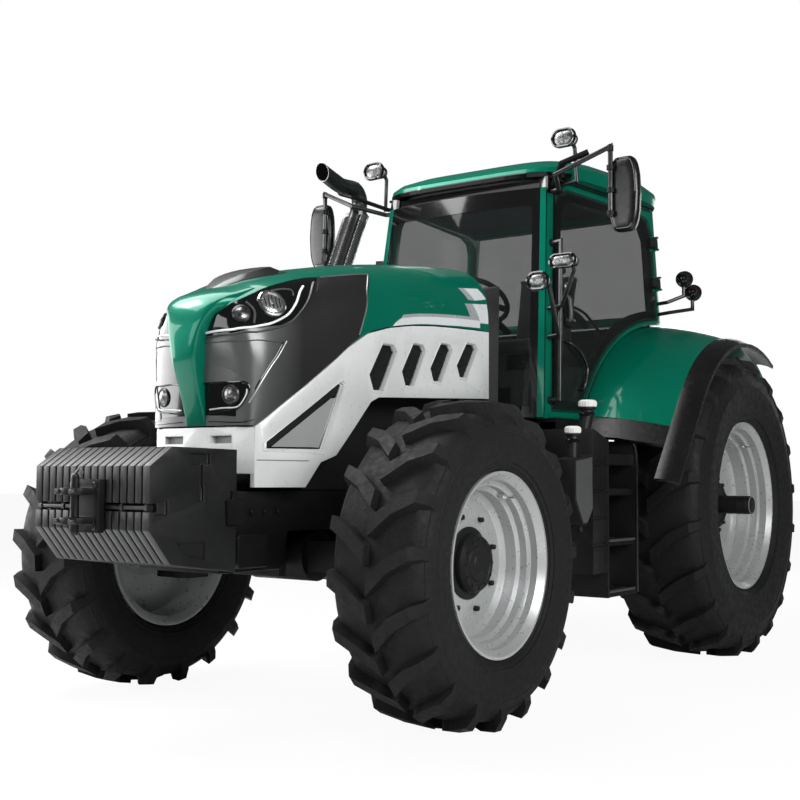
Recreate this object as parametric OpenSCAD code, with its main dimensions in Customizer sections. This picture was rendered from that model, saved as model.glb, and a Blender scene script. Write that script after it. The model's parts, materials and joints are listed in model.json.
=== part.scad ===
// Farm tractor with cab, hinged hood, steered front wheels and rear linkage.
// X points forward, Y to the tractor's left, Z up, millimetres, ground at Z = 0.

/* [Wheels and axles] */
// Distance between the front and the rear axle
wheelbase = 2900; // [2800:10:3000]
// Distance between the front tyre centres
front_track = 2040; // [2000:10:2120]
// Distance between the rear tyre centres
rear_track = 2090; // [2060:10:2200]
// Front tyre radius out to the lug tips
front_tyre_r = 733; // [715:1:745]
// Front tyre width
front_tyre_w = 490; // [440:5:520]
// Front rim radius at the flange
front_rim_r = 411; // [395:1:425]
// Front rim width over the flanges
front_rim_w = 424; // [390:2:440]
// Rear tyre radius out to the lug tips
rear_tyre_r = 951; // [930:1:970]
// Rear tyre width
rear_tyre_w = 610; // [560:5:630]
// Rear rim radius at the flange
rear_rim_r = 524; // [500:1:545]
// Rear rim width over the flanges
rear_rim_w = 514; // [470:2:530]
// Height of the tyre lugs
lug_h = 45; // [35:1:55]
// Number of lugs on each side of a front tyre
front_lugs = 19; // [16:1:22]
// Number of lugs on each side of a rear tyre
rear_lugs = 20; // [17:1:23]
// Distance from the steering pin to the tyre centre
pin_offset = 200; // [190:1:220]
// Radius of the front wheel spindle
spindle_r = 62; // [50:1:70]
// Radius of the rear bar axle
bar_axle_r = 54; // [45:1:60]
// Reach of the bar axle past the rear tyre centre
bar_axle_out = 298; // [200:1:305]
// Radius of the steering pin
steer_pin_r = 32; // [25:1:38]

/* [Ends] */
// Front axle to the front end of the tow jaw
front_overhang = 1400; // [1360:5:1480]
// Rear axle to the rear end of the lower links
rear_overhang = 1200; // [1120:5:1300]

/* [Hood] */
// Front axle to the nose strip
nose_x = 688; // [660:2:700]
// Height of the hood crown at its rear edge
hood_rear_z = 2325; // [2280:5:2360]
// Height of the hood side edge at its rear
hood_side_z = 1936; // [1900:2:1960]
// Rise of the nose's lower edge above the front frame
nose_rise = 292; // [270:2:330]
// Half width of the hood at the rear
hood_half_w = 450; // [430:2:470]
// Half width of the hood at the nose corner
nose_half_w = 312; // [290:2:330]
// Sheet thickness of the hood
hood_t = 12; // [8:1:16]
// Working gap round the moving hood
hood_gap = 6; // [5:0.5:10]
// Thickness of the fixed side panels
panel_t = 26; // [18:1:32]
// Radius of the hood hinge pin
hood_pin_r = 12; // [8:1:15]

/* [Ballast] */
// Number of ballast plates
plate_count = 16; // [10:2:16]
// Distance from plate to plate
plate_pitch = 44; // [40:1:46]
// Height of the ballast top above the ground
ballast_top = 1235; // [1200:5:1260]
// Height of the ballast foot above the ground
ballast_foot = 705; // [680:5:740]

/* [Cab] */
// Cab floor height above the rear axle
floor_rise = 549; // [540:5:570]
// Windscreen foot ahead of the rear tyre
door_foot = 479; // [450:5:500]
// Rear corner of the cab ahead of the rear axle
cab_rear = 100; // [80:5:120]
// Half width of the cab at the windscreen foot
cab_front_half_w = 655; // [640:5:670]
// Half width of the cab at the rear corner
cab_rear_half_w = 800; // [790:5:810]
// Height of the cab frame above its floor
cab_h = 1410; // [1380:5:1440]
// Inward lean of the cab sides in degrees
cab_lean = 4; // [3:0.5:5]
// Thickness of the cab frame
frame_t = 60; // [45:1:70]
// Glass thickness
glass_t = 8; // [5:0.5:10]
// Radius of the door hinge pins
door_pin_r = 9; // [6:0.5:11]
// Crown height of the roof above its rim
roof_crown = 190; // [150:5:210]

/* [Fenders] */
// Clearance of the fender's outer lip over the rear tyre
fender_gap = 111; // [100:1:125]
// Rise of the fender from its outer lip to the cab side
fender_dome = 108; // [95:1:120]
// Fender sheet thickness
fender_t = 24; // [16:1:30]
// Half distance between the inner fender edges
fender_in = 700; // [690:2:710]
// Half distance between the green lips
fender_lip = 1215; // [1190:5:1230]
// Width of the black flare outside the lip
flare_w = 130; // [100:5:135]

/* [Side equipment] */
// Length of the tank from the steps to its front
tank_len = 390; // [340:5:420]
// Length of the steps from front to rear
step_len = 390; // [340:5:420]
// Outer half width of the tank and the steps
tank_out = 1030; // [980:5:1060]
// Height of the lowest step
step_z = 460; // [430:5:500]
// Radius of the exhaust stack
stack_r = 50; // [42:1:56]
// Radius of the exhaust shield
shield_r = 78; // [68:1:88]

/* [Rear linkage] */
// Height of the lower link pivots
link_z = 560; // [540:5:600]
// Rear axle to the link pivots
link_back = 230; // [220:5:260]
// Height of the lift shaft above the link pivots
rod_h = 600; // [560:5:640]
// Link pivot to the lift rod pin
rod_at = 470; // [430:5:520]
// Half distance between the link pivots
link_half = 315; // [305:2:330]
// Radius of the link and lift pins
link_pin_r = 18; // [14:0.5:20]
// Radius of the eyes' through holes at the link ends
eye_r = 18.6; // [14:0.1:19]
// Radius of the drawbar pin hole
drawbar_pin_r = 16.5; // [14:0.5:20]
// Radius of the top link pin hole
top_link_r = 16; // [12:0.5:18]
// Radius of the power take-off stub
pto_r = 17.5; // [15:0.5:22]

/* [Fits] */
// Radial play of a turning pin in its bore
play = 0.3; // [0.2:0.05:0.5]

/* [Hidden] */
$fn = 48;
front_x = (wheelbase + rear_overhang - front_overhang) / 2;
rear_x = front_x - wheelbase;
front_y = front_track / 2;
rear_y = rear_track / 2;
steer_y = front_y - pin_offset;
cab_front = rear_tyre_r + door_foot;
screen_x = rear_x + cab_front;
corner_x = rear_x + cab_rear;
cowl_len = 290;
hood_rear_x = screen_x + cowl_len;
flange_h = 26;
frame_foot = front_tyre_r + 129;
frame_top = frame_foot + 188;
floor_z = rear_tyre_r + floor_rise;
fender_r_out = rear_tyre_r + fender_gap;
fender_r_in = fender_r_out + fender_dome;
flare_out = fender_lip + flare_w;
green = [0.0, 0.30, 0.20];
silver = [0.78, 0.79, 0.80];
black = [0.06, 0.06, 0.07];
dark = [0.14, 0.15, 0.16];
steel = [0.55, 0.56, 0.58];
glass = [0.35, 0.45, 0.48, 0.4];

// Copies its children to both sides of the middle plane
module both_sides() {
    children();
    mirror([0, 1, 0]) children();
}

// Extrudes an outline drawn in X and Z between two Y values
module slab(outline, y_from, y_to) {
    translate([0, y_to, 0]) rotate([90, 0, 0]) linear_extrude(y_to - y_from) polygon(outline);
}

// Round bar between two points
module rod(a, b, r) {
    d = b - a;
    translate(a) rotate([0, acos(d[2] / norm(d)), atan2(d[1], d[0])]) cylinder(h = norm(d), r = r);
}

// Bent round bar through a list of points, mitred at each bend
function unit(v) = v / norm(v);
function bend_ring(points, base, i) =
    i == 0 ? base :
    let (last = bend_ring(points, base, i - 1), d = unit(points[i] - points[i - 1]),
        m = i == len(points) - 1 ? d : d + unit(points[i + 1] - points[i]))
    [for (q = last) q + d * ((points[i] - q) * m) / (d * m)];
module bent_rod(points, r, sides = 14) {
    d = unit(points[1] - points[0]);
    side = unit(abs(d[2]) > 0.9 ? cross(d, [1, 0, 0]) : cross(d, [0, 0, 1]));
    up = cross(side, d);
    base = [for (k = [0 : sides]) let (a = -360 * k / sides)
        points[0] + r * (side * cos(a) + up * sin(a))];
    closed_rings([for (i = [0 : len(points) - 1]) bend_ring(points, base, i)]);
}

// Solid through a stack of closed rings, ring by ring from the first to the last
module closed_rings(rings) {
    n = len(rings[0]) - 1;
    m = len(rings);
    ones = [for (i = [0 : n - 1]) 1];
    function middle(ring) = [for (k = [0 : 2]) (ones * [for (i = [0 : n - 1]) ring[i][k]]) / n];
    points = concat([for (ring = rings) for (i = [0 : n - 1]) ring[i]],
        [middle(rings[0]), middle(rings[m - 1])]);
    function at(r, i) = r * n + i % n;
    faces = concat([for (i = [0 : n - 1]) [n * m, at(0, i), at(0, i + 1)]],
        [for (i = [0 : n - 1]) [n * m + 1, at(m - 1, i + 1), at(m - 1, i)]],
        [for (r = [0 : m - 2], i = [0 : n - 1]) each
            [[at(r, i), at(r + 1, i), at(r + 1, i + 1)], [at(r, i), at(r + 1, i + 1), at(r, i + 1)]]]);
    polyhedron(points, faces, convexity = 4);
}

// Round bar along Y
module pin_y(x, z, r, y_from, y_to) {
    translate([x, y_from, z]) rotate([-90, 0, 0]) cylinder(h = y_to - y_from, r = r);
}

// Closed skin between an outer and an inner grid of points, over the cells that has(i, j) keeps
module skin(outer, inner, has = function (i, j) true) {
    rows = len(outer);
    cols = len(outer[0]);
    count = rows * cols;
    points = concat([for (row = outer) each row], [for (row = inner) each row]);
    function at(i, j, s) = s * count + i * cols + j;
    function quad(a, b, c, d) = [[a, b, c], [a, c, d]];
    function kept(i, j) = i >= 0 && j >= 0 && i < rows - 1 && j < cols - 1 && has(i, j);
    faces = [for (i = [0 : rows - 2], j = [0 : cols - 2]) if (kept(i, j)) each concat(
        quad(at(i, j, 0), at(i, j + 1, 0), at(i + 1, j + 1, 0), at(i + 1, j, 0)),
        quad(at(i, j, 1), at(i + 1, j, 1), at(i + 1, j + 1, 1), at(i, j + 1, 1)),
        kept(i, j - 1) ? [] : quad(at(i, j, 0), at(i + 1, j, 0), at(i + 1, j, 1), at(i, j, 1)),
        kept(i, j + 1) ? [] :
            quad(at(i + 1, j + 1, 0), at(i, j + 1, 0), at(i, j + 1, 1), at(i + 1, j + 1, 1)),
        kept(i - 1, j) ? [] : quad(at(i, j + 1, 0), at(i, j, 0), at(i, j, 1), at(i, j + 1, 1)),
        kept(i + 1, j) ? [] :
            quad(at(i + 1, j, 0), at(i + 1, j + 1, 0), at(i + 1, j + 1, 1), at(i + 1, j, 1)))];
    polyhedron(points, faces, convexity = 6);
}

// Smooth curve through a list of points, t counts the points
function curve(p, t) =
    let (n = len(p) - 1, i = min(floor(t), n - 1), f = t - i,
        a = p[max(i - 1, 0)], b = p[i], c = p[i + 1], d = p[min(i + 2, n)])
    0.5 * (2 * b + (c - a) * f + (2 * a - 5 * b + 4 * c - d) * f * f
        + (3 * b - a - 3 * c + d) * f * f * f);

// Points of an arc in degrees
function arc(x, z, r, from, to, n) =
    [for (i = [0 : n]) let (a = from + (to - from) * i / n) [x + r * cos(a), z + r * sin(a)]];

// Hood surface: crown line, lower edge line and a rounded section between them
hood_len = front_x - hood_rear_x;
nose_foot_z = frame_top + nose_rise;
crown_line = [[hood_rear_x, hood_rear_z],
    [front_x - hood_len * 0.69, hood_rear_z - 35],
    [front_x - hood_len * 0.345, hood_rear_z - 90],
    [front_x - 20, hood_rear_z - 160],
    [front_x + nose_x - 388, hood_rear_z - 238],
    [front_x + nose_x - 145, hood_rear_z - 325],
    [front_x + nose_x, hood_rear_z - 452],
    [front_x + nose_x - 12, (nose_foot_z + hood_rear_z - 452) / 2],
    [front_x + nose_x - 34, nose_foot_z]];
edge_line = [[hood_rear_x, hood_side_z],
    [front_x - hood_len * 0.69, hood_side_z - 14],
    [front_x - hood_len * 0.36, hood_side_z - 44],
    [front_x - 70, hood_side_z - 118],
    [front_x + 170, hood_side_z - 280],
    [front_x + 330, hood_side_z - 398],
    [front_x + 445, hood_side_z - 480],
    [front_x + 535, nose_foot_z + 46],
    [front_x + 600, nose_foot_z]];
function side_y(x) =
    hood_half_w - (hood_half_w - nose_half_w) * pow(max(0, x - front_x + 400) / 1000, 2);
function signed_pow(v, e) = sign(v) * pow(abs(v), e);
function hood_point(u, a) =
    let (c = curve(crown_line, u), e = curve(edge_line, u), k = signed_pow(cos(a), 0.68))
    [e[0] + (c[0] - e[0]) * k, side_y(e[0]) * signed_pow(sin(a), 0.68), e[1] + (c[1] - e[1]) * k];
function hood_normal(u, a) =
    let (du = hood_point(min(u + 0.04, 8), a) - hood_point(max(u - 0.04, 0), a),
        da = hood_point(u, a + 2) - hood_point(u, a - 2), n = cross(du, da))
    n / norm(n);
function hood_at(u, a, depth) = hood_point(u, a) - depth * hood_normal(u, a);

// Parting lines: the dark cheek starts along a slanted rear edge, below the green top's edge
cheek_u = 2.55;
cheek_top = 43.5;
lamp_from = 3.55;
lamp_to = 6.55;
low_lamp_from = 7.05;
low_lamp_to = 7.75;
parting = 0.15;
function steps(from, to, n) = [for (i = [1 : n]) from + (to - from) * i / n];
nose_us = concat([cheek_u], steps(cheek_u, lamp_from, 5), steps(lamp_from, lamp_to, 14),
    steps(lamp_to, low_lamp_from, 2), steps(low_lamp_from, low_lamp_to, 3), [8]);
lamp_first = 5;
lamp_last = lamp_first + 14;
low_lamp_first = lamp_last + 2;
low_lamp_last = low_lamp_first + 3;
function cheek_rear(f) = lookup(f, [[0, cheek_u], [0.4, 2.8], [0.74, 2.95], [0.92, 3.1], [1, 3.22]]);
function green_edge(u) = lookup(u, [[cheek_u, cheek_top], [3.25, 39], [3.85, 31], [5.15, 29.5],
    [5.55, 27], [5.9, 21.5], [6.15, 12.5], [6.4, 5], [6.7, 2.4], [7.2, 2.4], [8, 5]]);
function lamp_edge(u) = lookup(u, [[lamp_from, 36], [3.85, 48], [4.2, 58], [4.55, 63], [5.1, 62.5],
    [5.7, 55.5], [6.25, 40.5], [6.45, 24], [lamp_to, 6]]);
function cheek_edge(k) = let (u = nose_us[k])
    k < lamp_first || k > lamp_last ? green_edge(u) : max(lamp_edge(u), green_edge(u) + 0.5);

// Engine, as one plain block between the front frame and the transmission
engine_half_w = 262;
engine_rear_x = screen_x + 345;
engine_step_x = front_x - 430;
module engine_block() {
    color(dark) slab([[engine_rear_x, 760], [engine_step_x, 760], [engine_step_x, frame_top],
        [front_x + 210, frame_top], [front_x + 210, 1440], [front_x + 120, 1560],
        [engine_rear_x, 1620]], -engine_half_w, engine_half_w);
}

// Front frame with the hangers that carry the front axle
frame_half_w = 255;
hanger_foot = front_tyre_r - 93;
hanger_at = 215;
hanger_t = 50;
trunnion_r = 62;
ballast_x = front_x + 756;
module front_frame() {
    color(black) difference() {
        union() {
            slab([[engine_step_x, frame_foot], [front_x + 300, frame_foot],
                [front_x + 340, ballast_foot - 15], [ballast_x, ballast_foot - 15],
                [ballast_x, frame_top - 50], [ballast_x - 40, frame_top], [engine_step_x, frame_top]],
                -frame_half_w, frame_half_w);
            for (s = [-1, 1]) translate([front_x + s * hanger_at - hanger_t / 2, -150, hanger_foot])
                cube([hanger_t, 300, frame_foot - hanger_foot + 10]);
        }
        translate([front_x - hanger_at - hanger_t, 0, front_tyre_r]) rotate([0, 90, 0])
            cylinder(h = 2 * hanger_at + 2 * hanger_t, r = trunnion_r + play);
    }
}

// Transmission with the four cab mounts
trans_half_w = engine_half_w;
trans_top = rear_tyre_r + 239;
trans_foot = 470;
lift_top = link_z + rod_h + 90;
floor_under = floor_z - 45;
module transmission() {
    color(black) {
        slab([[engine_rear_x, 640], [engine_rear_x, trans_top + 60], [rear_x + 500, trans_top],
            [rear_x - 120, trans_top], [rear_x - 130, lift_top], [hitch_face_x, lift_top],
            [hitch_face_x, trans_foot], [rear_x + 500, trans_foot]], -trans_half_w, trans_half_w);
        for (x = [screen_x - 260, rear_x + 120], y = [-180, 180]) translate([x, y, trans_top - 40])
            cylinder(h = floor_under - trans_top + 40, r = 55);
    }
}

// Rear axle trumpets, one each side of the transmission
module rear_axle_housing() {
    color(black) both_sides() translate([rear_x, 0, rear_tyre_r]) rotate([-90, 0, 0]) rotate_extrude()
        polygon([[bar_axle_r + play, 470], [0, 470], [0, trans_half_w], [225, trans_half_w],
            [225, trans_half_w + 40], [170, trans_half_w + 70], [125, 560], [125, rear_y - 360],
            [bar_axle_r + play, rear_y - 360]]);
}

// Front axle beam with its centre housing, pivot and forks
fork_in = 85;
fork_half_h = 150;
module front_axle_beam() {
    color(black) translate([front_x, 0, front_tyre_r]) difference() {
        union() {
            translate([-85, 100 - steer_y, -75]) cube([170, 2 * steer_y - 200, 150]);
            pin_y(0, 0, 126, -190, 190);
            rotate([0, 90, 0]) translate([0, 0, -hanger_at - hanger_t / 2])
                cylinder(h = 2 * hanger_at + hanger_t, r = trunnion_r);
            both_sides() {
                translate([-85, steer_y - 190, -fork_half_h]) cube([170, 90, 2 * fork_half_h]);
                for (s = [0, 1]) mirror([0, 0, s]) translate([0, steer_y, 100]) {
                    cylinder(h = fork_half_h - 100, r = 75);
                    translate([-75, -150, 0]) cube([150, 150, fork_half_h - 100]);
                }
            }
        }
        both_sides() translate([0, steer_y, -fork_half_h - 1])
            cylinder(h = 2 * fork_half_h + 2, r = steer_pin_r + play);
    }
}

// Ballast plates side by side on the front frame, with a heavier plate at each end
plate_t = plate_pitch - 1;
ballast_front = front_overhang - 140;
plate_outline = [[ballast_x, ballast_foot], [front_x + ballast_front - 120, ballast_foot + 50],
    [front_x + ballast_front, ballast_foot + 190], [front_x + ballast_front, ballast_top - 80],
    [front_x + ballast_front - 120, ballast_top], [ballast_x, ballast_top - 5]];
module front_weights() {
    color(black) difference() {
        slab(plate_outline, -plate_count * plate_pitch / 2, plate_count * plate_pitch / 2);
        for (i = [1 : plate_count - 1])
            translate([ballast_x + 90, (i - plate_count / 2) * plate_pitch - 4, ballast_foot - 10])
                cube([ballast_front, 8, ballast_top]);
        translate([jaw_back_x - 55, -600, jaw_z - 20]) cube([100, 1200, 34]);
        both_sides() end_recess();
    }
}

// Handle slot, keyhole groove and cast pocket in the outer face of an end plate
recess_t = 14;
module end_recess() {
    y = plate_count * plate_pitch / 2 - recess_t;
    translate([0, y, 0]) {
        translate([jaw_back_x - 100, 0, jaw_z - 34]) cube([62, 60, 62]);
        translate([ballast_x + 165, 0, ballast_top - 72]) cube([110, 60, 46]);
        translate([ballast_x + 208, 0, ballast_top - 215]) cube([14, 60, 150]);
        translate([ballast_x + 200, 0, ballast_top - 225]) cube([34, 60, 62]);
    }
    slab([[ballast_x + 190, ballast_foot + 60], [ballast_x + 305, ballast_foot + 85],
        [ballast_x + 345, ballast_foot + 135], [ballast_x + 190, ballast_foot + 135]],
        y + recess_t / 2, y + 60);
}

// Tow jaw with its pin on the front of the ballast
jaw_z = (ballast_foot + ballast_top) / 2 + 20;
jaw_front_x = front_x + front_overhang;
jaw_back_x = front_x + ballast_front;
module tow_jaw() {
    color(black) {
        translate([jaw_back_x, -90, jaw_z - 110]) cube([30, 180, 220]);
        for (z = [-75, 45]) translate([jaw_back_x + 20, 0, jaw_z + z]) {
            translate([0, -60, 0]) cube([60, 120, 30]);
            translate([60, 0, 0]) cylinder(h = 30, r = 60);
        }
        translate([jaw_front_x - 60, 0, jaw_z - 110]) cylinder(h = 230, r = 18);
    }
}

// Fixed silver side panels under the hood, with vents and the big opening
panel_rear_z = 1556;
arch_x = front_x - 95;
strip_z = frame_top + 16;
function panel_top() =
    [for (u = [0 : 0.5 : 8]) let (e = curve(edge_line, u)) [e[0], e[1] - hood_gap]];
function panel_outline() = concat(panel_top(),
    [[front_x + 600, strip_z], [front_x + 325, strip_z], [front_x + 235, strip_z + 116],
        [front_x + 140, strip_z + 150], [arch_x, panel_rear_z - 76], [arch_x - 60, panel_rear_z - 50],
        [hood_rear_x, panel_rear_z]]);
vent_pitch = 255;
vent_first = 185;
vent_count = floor((hood_len - vent_first - 115) / vent_pitch) + 1;
function vent_outline(i) =
    let (x = front_x - vent_first - i * vent_pitch, z = panel_rear_z + 99 + 32 * i,
        h = 117 - 7 * i, w = 105)
    [[x + w, z - h * 0.35], [x + w - 30, z - h], [x + 5, z - h], [x - w, z + h * 0.72],
        [x + 25 - w, z + h], [x + 5, z + h]];
function opening_outline() =
    [[front_x + 540, strip_z + 172], [front_x + 540, strip_z + 205], [front_x + 115, strip_z + 500],
        [front_x + 95, strip_z + 485], [front_x + 225, strip_z + 172]];
function plan_wall(inset, from, to) =
    [for (i = [0 : 24]) let (x = from + (to - from) * i / 24) [x, side_y(x) - inset]];
module plan_band(inset_out, inset_in, from, to, z_from, z_to) {
    translate([0, 0, z_from]) linear_extrude(z_to - z_from) polygon(concat(
        plan_wall(inset_out, from, to),
        [for (i = [24 : -1 : 0]) plan_wall(inset_in, from, to)[i]]));
}
module side_panels() {
    color(silver) both_sides() intersection() {
        plan_band(0, panel_t, hood_rear_x, front_x + 600, 900, 2100);
        difference() {
            slab(panel_outline(), 100, 600);
            for (i = [0 : vent_count - 1]) slab(vent_outline(i), 90, 610);
            slab(opening_outline(), 90, 610);
        }
    }
}

// Front bumper that joins the side panels under the nose, with two slots
bumper_top = nose_foot_z - hood_gap;
module front_bumper() {
    y = side_y(front_x + 600);
    color(silver) difference() {
        translate([0, 0, strip_z + 60]) linear_extrude(bumper_top - strip_z - 60) polygon([
            [front_x + 600, y], [front_x + nose_x - 45, y - 90], [front_x + nose_x - 34, 0],
            [front_x + nose_x - 45, 90 - y], [front_x + 600, -y], [front_x + 600, panel_t - y],
            [front_x + nose_x - 75, 0], [front_x + 600, y - panel_t]]);
        for (s = [-1, 1]) translate([front_x + 500, s * 150 - 60, bumper_top - 74]) cube([300, 120, 34]);
    }
}

// Dark grille plates behind the vents and the big opening
grille_t = 8;
module side_grilles() {
    color(black) both_sides() {
        intersection() {
            plan_band(panel_t, panel_t + grille_t, hood_rear_x, front_x + 600, 1000, 2000);
            slab([[hood_rear_x + 100, panel_rear_z + 64], [front_x - 60, panel_rear_z - 56],
                [front_x - 60, panel_rear_z + 204], [hood_rear_x + 100, panel_rear_z + 324]], 100, 600);
        }
        intersection() {
            plan_band(panel_t, panel_t + grille_t, hood_rear_x, front_x + 600, 1000, 2000);
            slab([[front_x + 575, strip_z + 150], [front_x + 575, strip_z + 205],
                [front_x + 110, strip_z + 520], [front_x + 65, strip_z + 490],
                [front_x + 205, strip_z + 150]], 100, 600);
        }
    }
}

// Cab floor with seat deck, wheel house sides and the cowl that carries the hood pin
cowl_half_w = hood_half_w - panel_t;
hinge_x = hood_rear_x - 38;
hinge_z = hood_rear_z - 90;
deck_z = floor_z + 300;
cab_tail_x = corner_x - 60;
toe_z = floor_z - 105;
module cab_floor() {
    color(black) {
        difference() {
            slab([[screen_x - 40, floor_under], [screen_x - 40, floor_z], [rear_x + 850, floor_z],
                [rear_x + 830, deck_z], [cab_tail_x + 40, deck_z], [cab_tail_x + 40, floor_z + 560],
                [cab_tail_x, floor_z + 560], [cab_tail_x, deck_z - 40], [rear_x + 790, deck_z - 40],
                [rear_x + 800, floor_under]], -fender_in, fender_in);
            both_sides() side_plane() translate([-3000, ring_out - frame_t, -3000])
                cube([6000, 3000, 6000]);
        }
        both_sides() slab(concat([[cab_tail_x, floor_z - 60], [cab_tail_x, floor_z + 560]],
            arc(rear_x, rear_tyre_r, fender_r_in - 6, 86, 30, 12),
            [[rear_x + 1010, floor_under], [rear_x + 960, floor_z - 60]]), fender_in - 40, fender_in);
        slab([[screen_x - 150, toe_z], [screen_x - 150, floor_under + 5], [screen_x - 45, floor_under + 5],
            [screen_x - 45, floor_under - 3], [screen_x + 150, floor_under - 3],
            [screen_x + 130, hood_rear_z - 110], [hood_rear_x - hood_gap, hood_rear_z - 150],
            [hood_rear_x - hood_gap, toe_z]],
            -cowl_half_w, cowl_half_w);
        slab([[hood_rear_x - 10, panel_rear_z + 6], [hood_rear_x + 46, panel_rear_z + 6],
            [hood_rear_x + 46, hood_side_z - 40], [hood_rear_x - 10, hood_side_z - 40]],
            -cowl_half_w, cowl_half_w);
        for (s = [-1, 1]) slab([[hinge_x - 30, hinge_z - 90], [hinge_x + 22, hinge_z - 90],
            [hinge_x + 22, hinge_z + 10], [hinge_x, hinge_z + 22], [hinge_x - 22, hinge_z + 10]],
            s * 300 - 15, s * 300 + 15);
        pin_y(hinge_x, hinge_z, hood_pin_r, -300, 300);
    }
}

// Cab side plane: s runs forward from the rear corner, h up, y outward
side_turn = atan2(cab_front_half_w - cab_rear_half_w, cab_front - cab_rear);
side_len = norm([cab_front_half_w - cab_rear_half_w, cab_front - cab_rear]);
module side_plane() {
    translate([corner_x, cab_rear_half_w, floor_z]) rotate([0, 0, side_turn]) rotate([cab_lean, 0, 0])
        children();
}
function side_at(s, y, h) =
    let (out = y * cos(cab_lean) - h * sin(cab_lean))
    [corner_x + s * cos(side_turn) - out * sin(side_turn),
        cab_rear_half_w + s * sin(side_turn) + out * cos(side_turn),
        floor_z + y * sin(cab_lean) + h * cos(cab_lean)];
post_w = 78;
lean_front = 0.125;
axle_s = -cab_rear;
axle_h = rear_tyre_r - floor_z;
arch_r = fender_r_in + 52;
function door_outline(d) =
    let (top = cab_h - 70 - d, low = 12 + d, front = side_len - post_w - d, rear = 10 + d, r = arch_r + d,
        from = acos((rear - axle_s) / r), to = asin((low - axle_h) / r))
    concat([[front - lean_front * low, low], [front - lean_front * (top - 110), top - 110],
        [front - lean_front * top - 40, top - 30], [front - lean_front * top - 130, top]],
        [[rear + 130, top], [rear + 40, top - 30], [rear, top - 110]],
        arc(axle_s, axle_h, r, from, to, 14));
function ring_outline() =
    let (r = arch_r - 40, from = acos((-60 - axle_s) / r), to = asin((-45 - axle_h) / r))
    concat([[side_len + lean_front * 45, -45], [side_len - lean_front * cab_h, cab_h], [-60, cab_h]],
        arc(axle_s, axle_h, r, from, to, 14));
ring_out = -hood_gap;
hinge_s = -28;
hinge_y = 16;
arch_h = arch_r + axle_h;
hinge_h = [for (f = [0.34, 0.745]) arch_h + f * (cab_h - 70 - arch_h)];

// Cab frame: side rings, front and rear headers and the door hinge pins
module cab_frame() {
    color(green) {
        both_sides() side_plane() difference() {
            slab(ring_outline(), ring_out - frame_t, ring_out);
            slab(door_outline(0), ring_out - frame_t - 1, ring_out + 1);
        }
        side_plane() for (h = hinge_h) {
            for (d = [-46, 34]) translate([hinge_s - 12, ring_out - 10, h + d])
                cube([24, 36 + hinge_y, 12]);
            translate([hinge_s, hinge_y, h - 40]) cylinder(h = 80, r = door_pin_r);
        }
        header(side_len - lean_front * cab_h - 60, cab_h - 62);
        header(-28, cab_h - 62);
        header(-28, arch_h - 33);
    }
}

// Straight cross member between the two cab sides
module header(s, h) {
    x = corner_x + s * cos(side_turn);
    z = floor_z + h * cos(cab_lean);
    y = cab_rear_half_w + s * sin(side_turn) - h * sin(cab_lean) - 30;
    translate([x - 35, -y, z]) cube([70, 2 * y, 50]);
}

// Roof shell with a crowned top and rounded corners
roof_front_x = screen_x - 130;
roof_rear_x = corner_x - 190;
roof_z = floor_z + cab_h * cos(cab_lean) + 0.3;
function roof_edge(a) =
    let (mid = (roof_front_x + roof_rear_x) / 2, half = (roof_front_x - roof_rear_x) / 2,
        x = signed_pow(cos(a), 0.42), y = signed_pow(sin(a), 0.42))
    [mid + half * x, (735 - 75 * x) * y];
roof_rings = [[1, 0], [1.012, 35], [1, 80], [0.93, 128], [0.78, 162], [0.5, 182], [0.12, 190]];
function roof_fall(x) =
    1 - 0.42 * pow(max(0, (2 * x - roof_front_x - roof_rear_x) / (roof_front_x - roof_rear_x)), 3);
function roof_ring(k, z) =
    [for (i = [0 : 48]) let (e = roof_edge(-i * 7.5), m = (roof_front_x + roof_rear_x) / 2,
        x = m + (e[0] - m) * k) [x, e[1] * k, roof_z + z * roof_fall(x)]];
module cab_roof() {
    color(green) {
        rings = [for (r = roof_rings) roof_ring(r[0], r[1] * roof_crown / 190)];
        closed_rings(rings);
    }
}

// Windscreen, fixed right window and rear window
function screen_point(v, h) =
    let (p = side_at(side_len - lean_front * h, ring_out, h))
    [p[0] + 0.1 + 60 * (1 - v * v), (p[1] - 6) * v, p[2]];
function rear_point(v, h) =
    let (p = side_at(-60, ring_out, h))
    [p[0] - 1 - 70 * (1 - v * v), (p[1] - 4) * v, p[2]];
module cab_glass() {
    rows = [for (i = [0 : 4]) -40 + (cab_h - 30) * i / 4];
    rear_rows = [for (i = [0 : 4]) arch_h - 39 + (cab_h + 29 - arch_h) * i / 4];
    cols = [for (j = [0 : 12]) -1 + j / 6];
    out = [for (h = rows) [for (v = cols) screen_point(-v, h)]];
    rear_out = [for (h = rear_rows) [for (v = cols) rear_point(v, h)]];
    color(glass) {
        skin([for (r = out) [for (p = r) p + [glass_t, 0, 0]]], out);
        skin([for (r = rear_out) [for (p = r) p - [glass_t, 0, 0]]], rear_out);
        mirror([0, 1, 0]) side_plane() slab(door_outline(-14), ring_out + 0.2, ring_out + 0.2 + glass_t);
    }
}

// Seat on its pedestal
seat_x = rear_x + 470;
module seat() {
    color(dark) {
        translate([seat_x - 150, -170, deck_z]) cube([300, 340, 130]);
        slab([[seat_x - 240, deck_z + 130], [seat_x + 270, deck_z + 130], [seat_x + 290, deck_z + 220],
            [seat_x - 150, deck_z + 210], [seat_x - 260, deck_z + 780], [seat_x - 350, deck_z + 760]],
            -250, 250);
    }
}

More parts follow.
